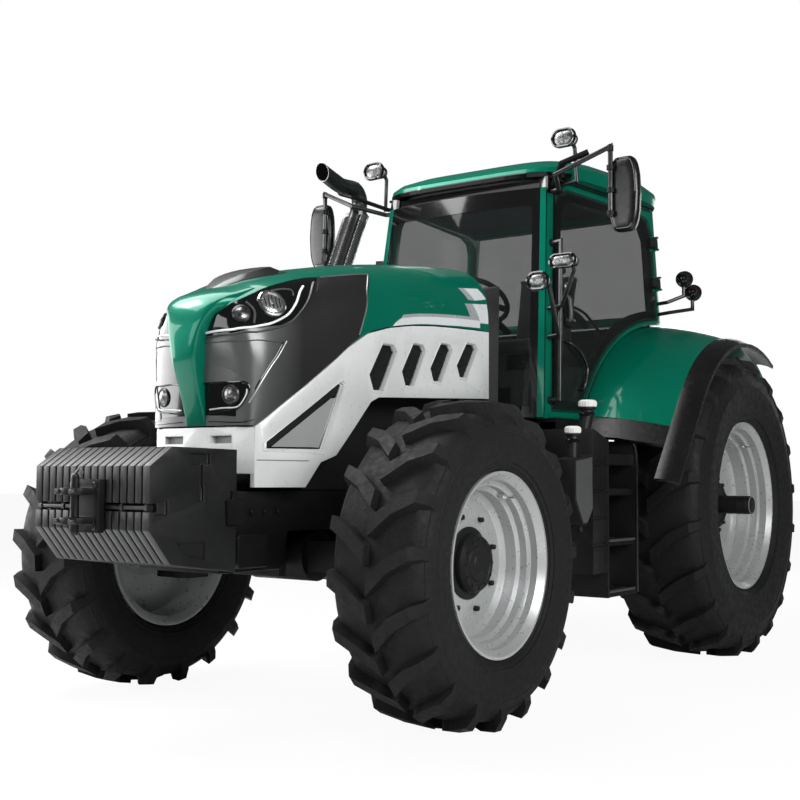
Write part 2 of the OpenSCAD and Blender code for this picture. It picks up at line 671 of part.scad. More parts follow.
// Steering column with its wheel and the dash it stands on
wheel_at = [screen_x - 330, 0, floor_z + 720];
module steering_column() {
    color(dark) {
        slab([[screen_x - 40, floor_z], [screen_x - 40, floor_z + 560], [screen_x - 150, floor_z + 620],
            [screen_x - 230, floor_z + 560], [screen_x - 200, floor_z]], -110, 110);
        rod([screen_x - 160, 0, floor_z + 500], wheel_at, 32);
        translate(wheel_at) rotate([0, -38, 0]) {
            rotate_extrude() translate([190, 0]) circle(r = 16);
            for (a = [0, 120, 240]) rotate([0, 0, a]) translate([0, -20, -8]) cube([190, 40, 16]);
        }
    }
}

// Fender path: arc round the rear axle, then a straight leg down to the front
leg_from = 38;
fender_leg = 240;
function fender_point(t, d, leg) =
    let (r = fender_r_out + d)
    t <= 0 ? [rear_x + r * cos(leg_from - t), rear_tyre_r + r * sin(leg_from - t)] :
        [rear_x + r * cos(leg_from) + t * leg * sin(leg_from),
            rear_tyre_r + r * sin(leg_from) - t * leg * cos(leg_from)];
function fender_rise(v) = (fender_r_in - fender_r_out) * (1 - pow(v, 1.6));
function fender_grid(ts, vs, drop, leg) =
    [for (t = ts) [for (v = vs) let (p = fender_point(t, fender_rise(v) - drop, leg))
        [p[0], fender_in + (fender_lip - fender_in) * v, p[1]]]];
arc_steps = [for (i = [0 : 15]) -90 + i * 6];
module fenders() {
    ts = concat(arc_steps, [0.5, 1]);
    vs = [0, 0.2, 0.4, 0.6, 0.8, 1];
    color(green) both_sides()
        skin(fender_grid(ts, vs, 0, fender_leg), fender_grid(ts, vs, fender_t, fender_leg));
}

// Black flares outside the fenders and the lower front mudguards
function flare_grid(ts, vs, drop, leg) =
    [for (t = ts) [for (v = vs) let (p = fender_point(t, -42 * v * v - drop, leg))
        [p[0], fender_lip + (flare_out - fender_lip) * v, p[1]]]];
module fender_flares() {
    ts = concat([for (i = [0 : 13]) -78 + i * 6], [0.5, 1]);
    vs = [0, 0.33, 0.66, 1];
    guard_ts = [1.002, 1.6];
    guard_vs = [0, 0.5, 0.998];
    color(black) both_sides() {
        skin(flare_grid(ts, vs, 0, 620), flare_grid(ts, vs, fender_t, 620));
        skin(fender_grid(guard_ts, guard_vs, 0, fender_leg),
            fender_grid(guard_ts, guard_vs, fender_t, fender_leg));
    }
}

// Fuel tank and the smaller tank ahead of it, on the left, with their fillers
step_rear_x = rear_x + rear_tyre_r + 79;
tank_rear_x = step_rear_x + step_len;
tank_front_x = tank_rear_x + tank_len;
tank_foot = 600;
tank_top = trans_top + 140;
rib_t = 7;
module filler(foot, cap, neck_r) {
    rod(foot, cap, neck_r);
    translate(cap) cylinder(h = 18, r = neck_r + 9);
    translate(cap + [0, 0, 18]) cylinder(h = 30, r = neck_r + 4);
}
module fuel_tank() {
    mid_x = tank_front_x - 210;
    color(black) {
        difference() {
            slab([[tank_rear_x, tank_foot], [mid_x, tank_foot], [mid_x, tank_top + 55],
                [tank_rear_x, tank_top]], trans_half_w, tank_out);
            for (i = [1 : 4]) translate([tank_rear_x - 10, tank_out - rib_t, tank_foot + 145 * i])
                cube([tank_len, 40, 10]);
        }
        slab([[mid_x, tank_foot + 350], [mid_x + 70, tank_foot + 265], [mid_x + 120, tank_foot + 265],
            [tank_front_x, tank_foot + 400], [tank_front_x, tank_top - 115], [mid_x, tank_top - 90]],
            tank_out - 120, tank_out);
        filler([mid_x - 60, tank_out - 90, tank_top + 10],
            [mid_x - 60, tank_out - 60, tank_top + 160], 36);
        filler([mid_x + 110, tank_out - 62, tank_top - 130],
            [mid_x + 120, tank_out - 58, tank_top + 10], 30);
    }
}

// Steps between the tank and the rear wheel
module step_frame() {
    for (x = [step_rear_x, tank_rear_x - 20])
        slab([[x, step_z], [x + 20, step_z], [x + 20, tank_top], [x, tank_top]], tank_out - 260, tank_out);
    for (i = [0 : 2]) translate([step_rear_x, tank_out - 250 + 10 * i, step_z + i * 280])
        cube([step_len - 4, 240 - 20 * i, 32]);
    translate([step_rear_x, trans_half_w, trans_top])
        cube([step_len - 4, tank_out - trans_half_w - 20, 60]);
}
module access_steps() {
    color(black) step_frame();
}

// Battery and tool box with steps on the right
module right_box() {
    color(black) mirror([0, 1, 0]) {
        slab([[tank_rear_x, tank_foot + 40], [tank_front_x - 60, tank_foot + 40],
            [tank_front_x, tank_foot + 120], [tank_front_x, tank_top - 130], [tank_rear_x, tank_top - 30]],
            trans_half_w, tank_out);
        step_frame();
    }
}

// Exhaust stack up the right front pillar, with a forward elbow
stack_y = -cab_front_half_w - 145;
stack_foot = [screen_x + 345, stack_y, floor_z + 380];
stack_top = [screen_x - 130, stack_y + 10, floor_z + cab_h - 30];
mouth = [screen_x + 225, stack_y + 10, floor_z + cab_h + 110];
module exhaust_stack() {
    color(steel)
        bent_rod([[engine_rear_x + 200, -engine_half_w, floor_z - 20],
            [engine_rear_x + 200, -engine_half_w - 80, floor_z - 20],
            [engine_rear_x + 170, stack_y + 90, floor_z - 20], [engine_rear_x + 140, stack_y, floor_z + 70],
            stack_foot, stack_top, stack_top + [5, 0, 60], stack_top + [60, 0, 105],
            mouth - [150, 0, 40], mouth], stack_r, 20);
}

// Heat shield round the stack
module exhaust_shield() {
    d = stack_top - stack_foot;
    color(dark) translate(stack_foot) rotate([0, acos(d[2] / norm(d)), atan2(d[1], d[0])])
        difference() {
            translate([0, 0, 120]) cylinder(h = norm(d) - 180, r = shield_r);
            translate([0, 0, 150]) cylinder(h = norm(d) - 240, r = shield_r - 6);
            translate([0, 0, 119]) cylinder(h = norm(d), r = stack_r + play);
            translate([-200, -200, 110]) cube([170, 400, norm(d)]);
        }
}

// Mirror arms from the front pillars
arm_corner = [screen_x - 70, 1030, roof_z + 76];
arm_r = 14;
seat_y = ring_out + 0.2;
function pillar_s(h) = side_len - lean_front * h - 38;
module mirror_arms() {
    h = cab_h - 90;
    color(black) both_sides()
        bent_rod([side_at(pillar_s(h), seat_y, h), side_at(pillar_s(h), 45, h),
            [screen_x + 20, 730, roof_z - 60], arm_corner, arm_corner - [0, 0, 400]], arm_r);
}

// Mirror heads on the arms
head_half_t = 30;
module mirror_heads() {
    color(black) both_sides() translate(arm_corner + [-head_half_t - arm_r - 0.3, 62, -270])
        hull() for (y = [-65, 65], z = [-185, 185]) translate([0, y, z]) {
            translate([-head_half_t, 0, 0]) rotate([0, 90, 0]) cylinder(h = 40, r = 35, $fn = 24);
            translate([10, 0, 0]) rotate([0, 90, 0]) cylinder(h = head_half_t - 10, r = 26, $fn = 24);
        }
}

// Work lamps and indicators: roof pair, left rail pair and the round rear lamps
lamp_t = 70;
rear_lamp_r = 52;
lamp_front = [screen_x - 190, 692, roof_z + 200];
lamp_rail = [screen_x + 270, 770, floor_z + 690];
lamp_turn = [screen_x + 130, 850, floor_z + 815];
lamp_rear = [[rear_x - 15, 900, floor_z + 930], [rear_x - 165, 900, floor_z + 860]];
module lamp_body(at, r, w) {
    translate(at) hull() for (y = [-w, w]) translate([-lamp_t / 2, y, 0]) rotate([0, 90, 0])
        cylinder(h = lamp_t, r1 = r * 0.7, r2 = r, $fn = 24);
}
module work_lamps() {
    color(black) {
        both_sides() {
            lamp_body(lamp_front, 52, 22);
            for (p = lamp_rear) translate(p) sphere(r = rear_lamp_r);
        }
        lamp_body(lamp_rail, 48, 16);
        lamp_body(lamp_turn, 38, 40);
    }
}

// Stalks that carry the lamps, each from a flat of the cab frame
stalk_r = 12;
function behind(at, d) = at - [lamp_t / 2 + d, 0, 0];
module front_stalk(at, foot_s, foot_h, out) {
    bent_rod([side_at(foot_s, seat_y, foot_h), side_at(foot_s, out, foot_h), behind(at, 70) - [0, 0, 30],
        behind(at, 45), behind(at, 0.2)], stalk_r);
}
module lamp_stalks() {
    color(black) {
        both_sides() {
            front_stalk(lamp_front, pillar_s(cab_h) - 90, cab_h - 35, 112);
            for (i = [0, 1]) let (p = lamp_rear[i], h = arch_h + 97 - 70 * i)
                bent_rod([side_at(-38, seat_y, h), side_at(-38, 70, h), p - [0, 0, rear_lamp_r + 60],
                    p - [0, 0, rear_lamp_r + 0.3]], stalk_r);
        }
        front_stalk(lamp_rail, pillar_s(430) + 24, 430, 70);
        front_stalk(lamp_turn, pillar_s(600) + 24, 600, 90);
    }
}

// Grab rails on the front pillars
rail_r = 13;
module grab_rails() {
    color(steel) both_sides()
        bent_rod([side_at(pillar_s(60) - 4, seat_y, 60), side_at(pillar_s(60) - 4, 62, 60),
            side_at(pillar_s(1000) - 4, 62, 1000), side_at(pillar_s(1000) - 4, seat_y, 1000)], rail_r);
}

// Rear hitch frame: link brackets, lift shaft, drawbar, top link bracket and stub shaft
pivot_x = rear_x - link_back;
hitch_face_x = rear_x - 290;
pto_z = 760;
top_link_z = 1040;
module rear_hitch() {
    color(black) {
        both_sides() for (z = [link_z, link_z + rod_h]) {
            pin_y(pivot_x, z, link_pin_r, trans_half_w, link_half + 34);
            pin_y(pivot_x, z, link_pin_r + 22, trans_half_w, link_half - 26);
        }
        difference() {
            translate([hitch_face_x - 420, -45, trans_foot - 55]) cube([700, 90, 55]);
            translate([hitch_face_x - 370, 0, trans_foot - 60]) cylinder(h = 70, r = drawbar_pin_r);
        }
        translate([hitch_face_x, 0, pto_z]) rotate([0, -90, 0]) cylinder(h = 110, r = pto_r);
        difference() {
            for (s = [-1, 1])
                slab([[hitch_face_x, top_link_z - 70], [hitch_face_x, top_link_z + 70],
                    [hitch_face_x - 70, top_link_z + 35], [hitch_face_x - 70, top_link_z - 35]],
                    s * 45 - 10, s * 45 + 10);
            pin_y(hitch_face_x - 40, top_link_z, top_link_r, -80, 80);
        }
    }
}

// Hood top: green crown, rear sides and the nose strip, with hinge ears
top_cols = 5;
cheek_cols = 7;
hood_rows = 10;
function hood_top_at(i, j, depth) =
    let (n = abs(j), f = max(0, n - top_cols) / cheek_cols, k = i - hood_rows,
        edge = k <= 0 ? cheek_top : green_edge(nose_us[k]),
        a = n <= top_cols ? edge * n / top_cols : edge + (90 - edge) * f,
        u = k <= 0 ? cheek_rear(f) * i / hood_rows : nose_us[k])
    hood_at(u, sign(j) * a, depth);
function hood_top_grid(depth) =
    [for (i = [0 : hood_rows + len(nose_us) - 1])
        [for (j = [-top_cols - cheek_cols : top_cols + cheek_cols]) hood_top_at(i, j, depth)]];
module hood_top() {
    color(green) difference() {
        union() {
            skin(hood_top_grid(0), hood_top_grid(hood_t), function (i, j)
                i < hood_rows || (j >= cheek_cols && j < cheek_cols + 2 * top_cols));
            for (s = [-1, 1]) slab([[hinge_x - 24, hinge_z + 5], [hinge_x, hinge_z - 24],
                [hinge_x + 24, hinge_z - 12], [hood_rear_x + 120, hinge_z + 40],
                [hood_rear_x + 120, hood_rear_z - 40], [hinge_x - 5, hinge_z + 26]],
                s * 260 - 12, s * 260 + 12);
        }
        pin_y(hinge_x, hinge_z, hood_pin_r + play, -310, 310);
    }
}

// Dark hood cheeks left and right of the nose strip, with the wedge on the crown
low_lamp_cols = 4;
function cheek_at(k, f, depth) =
    let (u = nose_us[k], edge = cheek_edge(k) + parting, rear = cheek_rear(f) + (k == 0 ? 0.006 : 0),
        u_at = rear + (8 - rear) * (u - cheek_u) / (8 - cheek_u))
    hood_at(u_at, edge + (90 - edge) * f, depth);
function cheek_grid(from, to, cols, depth) =
    [for (k = [from : to]) [for (j = [0 : cols]) cheek_at(k, j / cheek_cols, depth)]];
wedge_h = [4, 32, 29, 24, 18, 12, 6, 1.5];
wedge_half = [2.4, 2.4, 2.2, 1.9, 1.5, 1.1, 0.65, 0.2];
wedge_lift = 1.5;
function crown_at(i, q, lift) = let (j = floor(q), f = q - j)
    hood_top_at(i, j, -lift) * (1 - f) + hood_top_at(i, j + 1, -lift) * f;
function wedge_grid(raised) =
    [for (k = [0 : len(wedge_h) - 1]) [for (j = [-3 : 3])
        crown_at(hood_rows + lamp_first + 1 + k, wedge_half[k] * j / 3,
            wedge_lift + (raised ? 1 + wedge_h[k] * (abs(j) == 3 ? 0 : 1) : 0))]];
module hood_cheeks() {
    last = len(nose_us) - 1;
    color(dark) {
        both_sides() skin(cheek_grid(0, last, cheek_cols, 0), cheek_grid(0, last, cheek_cols, hood_t),
            function (i, j) !(i >= low_lamp_first && i < low_lamp_last && j < low_lamp_cols));
        skin(wedge_grid(true), wedge_grid(false));
    }
}

// Headlamps let in between the hood top and the cheeks, and the lower lamps in the cheeks
lamp_sink = 2;
function lamp_grid(depth) =
    [for (k = [lamp_first : lamp_last]) let (u = nose_us[k], from = green_edge(u) + parting,
        to = max(cheek_edge(k) - 2 * parting, from + 0.1))
        [for (j = [0 : 5]) hood_at(u, from + (to - from) * j / 5, depth)]];
function low_lamp_grid(depth) =
    [for (k = [low_lamp_first : low_lamp_last]) [for (j = [0 : low_lamp_cols])
        let (edge_in = k == low_lamp_first ? 0.012 : k == low_lamp_last ? -0.012 : 0)
        let (p = cheek_at(k, (j == 0 ? 0.006 : j == low_lamp_cols ? j - 0.03 : j) / cheek_cols, depth))
        p + edge_in * (cheek_at(k + 1, j / cheek_cols, depth) - cheek_at(k - 1, j / cheek_cols, depth))]];
module headlamps() {
    color(glass) both_sides() {
        skin(lamp_grid(lamp_sink), lamp_grid(lamp_sink + hood_t));
        skin(low_lamp_grid(lamp_sink), low_lamp_grid(lamp_sink + hood_t));
    }
}

// Left door: frame inside the opening with two hinge barrels
module door_frame() {
    color(black) side_plane() difference() {
        union() {
            difference() {
                slab(door_outline(8), -42, 0);
                slab(door_outline(52), -43, 1);
            }
            for (h = hinge_h) translate([hinge_s, 0, h - 30]) {
                translate([0, hinge_y, 0]) cylinder(h = 60, r = 16);
                translate([0, 0, 0]) cube([92, hinge_y + 16, 60]);
                translate([48, -30, 0]) cube([44, 40, 60]);
            }
        }
        for (h = hinge_h) translate([hinge_s, hinge_y, h - 31]) cylinder(h = 62, r = door_pin_r + play);
    }
}

// Left door glass, bonded to the outside of the door frame
module door_glass() {
    color(glass) side_plane() difference() {
        slab(door_outline(-14), 0, glass_t);
        for (h = hinge_h) translate([hinge_s - 30, -1, h - 50]) cube([30 + 93, glass_t + 2, 100]);
    }
}

// Steering knuckle with its pin and the wheel spindle
module knuckle() {
    translate([front_x, 0, front_tyre_r]) {
        translate([0, steer_y, -fork_half_h]) cylinder(h = 2 * fork_half_h, r = steer_pin_r);
        translate([0, steer_y, -95]) cylinder(h = 190, r = 78);
        pin_y(0, 0, 90, steer_y, steer_y + 105);
        pin_y(0, 0, spindle_r, steer_y + 100, front_y + 40);
    }
}
module knuckle_left() {
    color(dark) knuckle();
}
module knuckle_right() {
    color(dark) mirror([0, 1, 0]) knuckle();
}

// Tyre carcass turned about Y, outer side towards +Y
function tyre_side(r, w, rim_r, rim_w) =
    let (seat = rim_r - flange_h + play, half = rim_w / 2, mid = (rim_r + r) / 2, base = r - lug_h)
    [[seat, half - 22.5], [rim_r + 0.5, half - 14.5], [rim_r + 6, half - 6], [rim_r + 50, w / 2 - 14],
        [mid - 10, w / 2], [mid + 30, w / 2 - 2], [base - 50, w / 2 - 22], [base - 16, w / 2 - 58],
        [base, w / 2 - 150]];

// One lug: a bar from the tread's middle out over the shoulder, raked so that its inner end leads
lug_out = [0.02, 0.42, 0.82, 0.965];
lug_drop = [0, 2, 14, 72];
lug_half = [40, 34, 29, 27];
lug_root = 12;
lug_rake = 0.62;
function lug_ring(k, r, w) =
    let (y = lug_out[k] * w / 2, top = r - lug_drop[k], low = r - lug_h - 36 - lug_drop[k] * 0.75,
        back = lug_rake * w / 2 * (1 - pow(1 - lug_out[k], 1.7)))
    [for (p = [[-lug_half[k] - lug_root, low], [-lug_half[k], top], [lug_half[k], top],
        [lug_half[k] + lug_root, low]])
        let (a = (p[0] - back) / r * 180 / PI) [p[1] * sin(a), y, p[1] * cos(a)]];
module lug(r, w) {
    rings = [for (k = [0 : 3]) lug_ring(k, r, w)];
    points = [for (ring = rings) each ring];
    faces = concat([[0, 1, 2], [0, 2, 3], [12, 14, 13], [12, 15, 14]],
        [for (k = [0 : 2], i = [0 : 3]) let (a = 4 * k + i, b = 4 * k + (i + 1) % 4)
            each [[a, b + 4, b], [a, a + 4, b + 4]]]);
    polyhedron(points, faces, convexity = 3);
}
module tyre(r, w, rim_r, rim_w, lugs) {
    half = tyre_side(r, w, rim_r, rim_w);
    back = [for (i = [len(half) - 1 : -1 : 0]) [half[i][0], -half[i][1]]];
    rotate([-90, 0, 0]) rotate_extrude() polygon(concat(half, back));
    for (i = [0 : lugs - 1]) rotate([0, 360 * i / lugs, 0]) {
        lug(r, w);
        rotate([0, 180 / lugs, 0]) mirror([0, 1, 0]) lug(r, w);
    }
}

// Rim with its disc and hub, turned about Y
module rim(rim_r, rim_w, disc, hub_r, hub_out, bore_r, bore_end, step) {
    seat = rim_r - flange_h;
    half = rim_w / 2;
    rotate([-90, 0, 0]) rotate_extrude() polygon([
        [rim_r, -half], [rim_r, 14 - half], [seat, 22 - half], [seat, half - 22], [rim_r, half - 14],
        [rim_r, half], [rim_r - 12, half], [seat - 14, half - 30], [seat - 14, half - 30 - step],
        [seat - 38, half - 40 - step], [seat - 38, half - 40 - 2 * step], [seat - 58, half - 52 - 2 * step],
        [seat - 58, disc + 30], [seat - 90, disc + 12], [hub_r + 40, disc + 26], [hub_r, disc + 26],
        [hub_r, hub_out - 12], [hub_r - 12, hub_out], [bore_end > hub_out ? bore_r : 0, hub_out],
        [bore_end > hub_out ? bore_r : 0, min(bore_end, hub_out)], [bore_r, min(bore_end, hub_out)],
        [bore_r, disc - 30], [hub_r, disc - 30], [hub_r + 30, disc], [seat - 90, disc - 10],
        [seat - 30, disc - 30], [seat - 22, 24 - half], [rim_r - 12, -half]]);
}
module front_rim() {
    rim(front_rim_r, front_rim_w, 8, 128, 87, spindle_r + play, 45, 34);
}
module rear_rim() {
    rim(rear_rim_r, rear_rim_w, 10, 150, 78, bar_axle_r, 40, 44);
    pin_y(0, 0, bar_axle_r, -rear_y + 480, bar_axle_out);
}

// Wheel places
module front_place(side) {
    mirror([0, side, 0]) translate([front_x, front_y, front_tyre_r]) children();
}
module rear_place(side) {
    mirror([0, side, 0]) translate([rear_x, rear_y, rear_tyre_r]) children();
}
module tyre_front_left() {
    color(black) front_place(0) tyre(front_tyre_r, front_tyre_w, front_rim_r, front_rim_w, front_lugs);
}
module tyre_front_right() {
    color(black) front_place(1) tyre(front_tyre_r, front_tyre_w, front_rim_r, front_rim_w, front_lugs);
}
module tyre_rear_left() {
    color(black) rear_place(0) tyre(rear_tyre_r, rear_tyre_w, rear_rim_r, rear_rim_w, rear_lugs);
}
module tyre_rear_right() {
    color(black) rear_place(1) tyre(rear_tyre_r, rear_tyre_w, rear_rim_r, rear_rim_w, rear_lugs);
}
module rim_front_left() {
    color(silver) front_place(0) front_rim();
}
module rim_front_right() {
    color(silver) front_place(1) front_rim();
}
module rim_rear_left() {
    color(silver) rear_place(0) rear_rim();
}
module rim_rear_right() {
    color(silver) rear_place(1) rear_rim();
}

// Lower links, with an eye at each free end
link_len = rear_overhang - link_back - 45;
module lower_links() {
    color(black) both_sides() difference() {
        union() {
            pin_y(pivot_x, link_z, 42, link_half - 20, link_half + 20);
            slab([[pivot_x, link_z - 32], [pivot_x, link_z + 32], [pivot_x - link_len, link_z + 32],
                [pivot_x - link_len, link_z - 32]], link_half - 16, link_half + 16);
            pin_y(pivot_x - link_len, link_z, 45, link_half - 20, link_half + 20);
            pin_y(pivot_x - rod_at, link_z, link_pin_r, link_half, link_half + 56);
        }
        pin_y(pivot_x, link_z, link_pin_r + play, link_half - 30, link_half + 30);
        pin_y(pivot_x - link_len, link_z, eye_r, link_half - 30, link_half + 30);
    }
}

// Lift arms, level with the links above them
module lift_arms() {
    z = link_z + rod_h;
    color(black) both_sides() difference() {
        union() {
            pin_y(pivot_x, z, 46, link_half - 20, link_half + 20);
            slab([[pivot_x, z - 40], [pivot_x, z + 40], [pivot_x - rod_at, z + 28],
                [pivot_x - rod_at, z - 28]], link_half - 16, link_half + 16);
            pin_y(pivot_x - rod_at, z, 28, link_half - 16, link_half + 16);
            pin_y(pivot_x - rod_at, z, link_pin_r, link_half, link_half + 56);
        }
        pin_y(pivot_x, z, link_pin_r + play, link_half - 30, link_half + 30);
    }
}

// Lift rods between the links and the arms
module lift_rods() {
    x = pivot_x - rod_at;
    color(steel) both_sides() difference() {
        union() {
            for (z = [link_z, link_z + rod_h]) pin_y(x, z, 30, link_half + 22, link_half + 52);
            rod([x, link_half + 37, link_z + 20], [x, link_half + 37, link_z + rod_h - 20], 16);
            rod([x, link_half + 37, link_z + 150], [x, link_half + 37, link_z + 400], 24);
        }
        for (z = [link_z, link_z + rod_h]) pin_y(x, z, link_pin_r + play, link_half + 10, link_half + 70);
    }
}

engine_block();
front_frame();
transmission();
rear_axle_housing();
front_axle_beam();
front_weights();
tow_jaw();
side_panels();
front_bumper();
side_grilles();
cab_floor();
cab_frame();
cab_roof();
cab_glass();
seat();
steering_column();
fenders();
fender_flares();
fuel_tank();
access_steps();
right_box();
exhaust_stack();
exhaust_shield();
mirror_arms();
mirror_heads();
work_lamps();
lamp_stalks();
grab_rails();
rear_hitch();
hood_top();
hood_cheeks();
headlamps();
door_frame();
door_glass();
knuckle_left();
knuckle_right();
tyre_front_left();
tyre_front_right();
tyre_rear_left();
tyre_rear_right();
rim_front_left();
rim_front_right();
rim_rear_left();
rim_rear_right();
lower_links();
lift_arms();
lift_rods();
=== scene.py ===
import json
import math
import bmesh
import bpy
from mathutils import Matrix, Vector


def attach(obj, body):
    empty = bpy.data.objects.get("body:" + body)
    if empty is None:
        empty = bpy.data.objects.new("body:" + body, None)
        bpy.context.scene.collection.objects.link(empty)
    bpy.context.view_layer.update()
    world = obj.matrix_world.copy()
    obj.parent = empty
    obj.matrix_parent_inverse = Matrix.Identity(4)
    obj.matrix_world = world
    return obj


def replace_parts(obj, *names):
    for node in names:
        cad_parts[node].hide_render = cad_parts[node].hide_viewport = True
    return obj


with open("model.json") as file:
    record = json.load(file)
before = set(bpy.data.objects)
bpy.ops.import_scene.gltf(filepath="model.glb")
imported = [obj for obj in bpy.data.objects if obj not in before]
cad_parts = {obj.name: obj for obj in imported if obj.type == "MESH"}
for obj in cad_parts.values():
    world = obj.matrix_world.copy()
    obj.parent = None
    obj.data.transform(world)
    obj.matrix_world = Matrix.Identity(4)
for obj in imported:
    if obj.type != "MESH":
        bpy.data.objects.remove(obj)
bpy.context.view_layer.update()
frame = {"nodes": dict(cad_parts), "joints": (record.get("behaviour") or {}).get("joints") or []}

# Units: places and sizes are millimetres in the part's frame, and MM turns them into metres
MM = 0.001
AHEAD, OUT, UP = Vector((1, 0, 0)), Vector((0, 1, 0)), Vector((0, 0, 1))
SIDES = (("left", 1), ("right", -1))
joint_at = {j["name"]: Vector(j["pos_m"]) / MM for j in frame["joints"]}
front_wheel = joint_at["spin_front_left"]
rear_wheel = joint_at["spin_rear_left"]
front_x = front_wheel.x
rear_x = rear_wheel.x
frame_top = front_wheel.z + 317
trans_top = rear_wheel.z + 239
floor_z = rear_wheel.z + 549
cab_front, cab_rear, cab_h = 1430, 100, 1410
cab_front_half_w, cab_rear_half_w = 655, 800
screen_x = rear_x + cab_front
corner_x = rear_x + cab_rear
hood_rear_x = screen_x + 290


# Meshes: each helper returns (vertices, faces), and build() joins them into one piece
def loft(rings, caps=True):
    n = len(rings[0])
    verts = [Vector(p) for ring in rings for p in ring]
    faces = []
    for k in range(len(rings) - 1):
        for i in range(n):
            j = (i + 1) % n
            faces.append((k * n + i, k * n + j, (k + 1) * n + j, (k + 1) * n + i))
    if caps:
        faces.append(tuple(range(n - 1, -1, -1)))
        faces.append(tuple(range((len(rings) - 1) * n, len(rings) * n)))
    return verts, faces


def axes(direction):
    z = Vector(direction).normalized()
    x = z.cross(UP if abs(z.z) < 0.9 else AHEAD).normalized()
    return x, z.cross(x), z


def angles(n):
    """Angles of n points around a circle."""
    return [math.tau * i / n for i in range(n)]


def turned(at, axis, profile, n=32):
    """Revolves (radius, height) pairs about an axis."""
    x, y, z = axes(axis)
    rings = []
    for r, h in profile:
        r = max(r, 0.05)
        rings.append([Vector(at) + z * h + (x * math.cos(a) + y * math.sin(a)) * r for a in angles(n)])
    return loft(rings)


def hoop(at, axis, profile, n=96):
    """Revolves a closed section of (radius, height) pairs into a ring."""
    verts, faces = turned(at, axis, list(profile) + [profile[0]], n)
    return verts, faces[:-2]


def curve_point(a, b, c, d, t):
    """Point of a Catmull-Rom curve between b and c."""
    return 0.5 * (2 * b + (c - a) * t + (2 * a - 5 * b + 4 * c - d) * t * t
                  + (3 * b - a - 3 * c + d) * t ** 3)


def smooth_path(points, steps=6, cyclic=False):
    """Smooth curve through the points."""
    p = [Vector(q) for q in points]
    n = len(p)
    path = []
    for i in range(n if cyclic else n - 1):
        near = [p[k % n] if cyclic else p[min(max(k, 0), n - 1)] for k in (i - 1, i, i + 1, i + 2)]
        path += [curve_point(*near, s / steps) for s in range(steps)]
    return path if cyclic else path + [p[-1]]


def pipe(points, radius, n=10, cyclic=False, flat=1.0):
    """Tube along a path; flat squeezes its section."""
    p = [Vector(q) for q in points]
    count = len(p)
    rings = []
    x = None
    for i in range(count):
        after = p[(i + 1) % count] if cyclic else p[min(i + 1, count - 1)]
        before = p[i - 1] if cyclic else p[max(i - 1, 0)]
        z = (after - before).normalized()
        x = axes(z)[0] if x is None else (x - z * x.dot(z)).normalized()
        y = z.cross(x) * flat
        rings.append([p[i] + x * (radius * math.cos(a)) + y * (radius * math.sin(a)) for a in angles(n)])
    if cyclic:
        return loft(rings + [rings[0]], caps=False)
    return loft(rings)


def block(low, high):
    (x0, y0, z0), (x1, y1, z1) = low, high
    foot = [(x0, y0, z0), (x1, y0, z0), (x1, y1, z0), (x0, y1, z0)]
    return loft([foot, [(x, y, z1) for x, y, z in foot]])


def moved(outline, u, v):
    """Flat outline moved by u and v."""
    return [(a + u, b + v) for a, b in outline]


def upright(x, z, y):
    """Place of an outline drawn in x and z, at the depth y."""
    return Vector((x, y, z))


def prism(outline, place, low, high):
    """Extrudes a flat outline between two depths; place(u, v, depth) gives the point."""
    return loft([[place(u, v, d) for u, v in outline] for d in (low, high)])


def ring_of(outline, place, steps):
    """Frame along a closed outline: each step is (growth, depth)."""
    n = len(outline)
    cu, cv = sum(p[0] for p in outline) / n, sum(p[1] for p in outline) / n
    rings = []
    for grow, depth in steps:
        ring = []
        for u, v in outline:
            k = 1 + grow / math.hypot(u - cu, v - cv)
            ring.append(place(cu + (u - cu) * k, cv + (v - cv) * k, depth))
        rings.append(ring)
    return loft(rings + [rings[0]], caps=False)


def sheet(grid, normal_of, thick):
    """Closed thin sheet over a grid of points."""
    rows, cols = len(grid), len(grid[0])
    verts = [Vector(p) for row in grid for p in row]
    lift = [Vector(normal_of(i, j)) * thick for i in range(rows) for j in range(cols)]
    verts = verts + [v + d for v, d in zip(verts, lift)]
    count = rows * cols
    faces = []
    for i in range(rows - 1):
        for j in range(cols - 1):
            a, b, c, d = i * cols + j, i * cols + j + 1, (i + 1) * cols + j + 1, (i + 1) * cols + j
            faces += [(d, c, b, a), (a + count, b + count, c + count, d + count)]
    rim = [(i, 0) for i in range(rows)] + [(rows - 1, j) for j in range(1, cols)]
    rim += [(i, cols - 1) for i in range(rows - 2, -1, -1)] + [(0, j) for j in range(cols - 2, 0, -1)]
    loop = [i * cols + j for i, j in rim]
    for k in range(len(loop)):
        a, b = loop[k], loop[(k + 1) % len(loop)]
        faces.append((a, b, b + count, a + count))
    return verts, faces


def bolts(at, axis, circle, count, radius, height, start=0.0):
    """Ring of hexagon bolts, each on a washer."""
    x, y, z = axes(axis)
    parts = []
    for a in angles(count):
        foot = Vector(at) + (x * math.cos(a + start) + y * math.sin(a + start)) * circle
        parts.append(turned(foot, z, [(radius * 1.5, -2), (radius * 1.5, 1.5)], 14))
        parts.append(turned(foot, z, [(radius, 0), (radius, height - 2), (radius * 0.8, height)], 6))
    return parts


def bolt_row(places, axis, radius, height):
    """Single bolts at a list of places."""
    return [part for at in places for part in bolts(at, axis, 0, 1, radius, height)]


def on_side(parts, sign):
    """The parts as they are on the left, or their mirror images for the right."""
    if sign > 0:
        return parts
    return [([Vector((v.x, -v.y, v.z)) for v in verts], [tuple(reversed(f)) for f in faces])
            for verts, faces in parts]


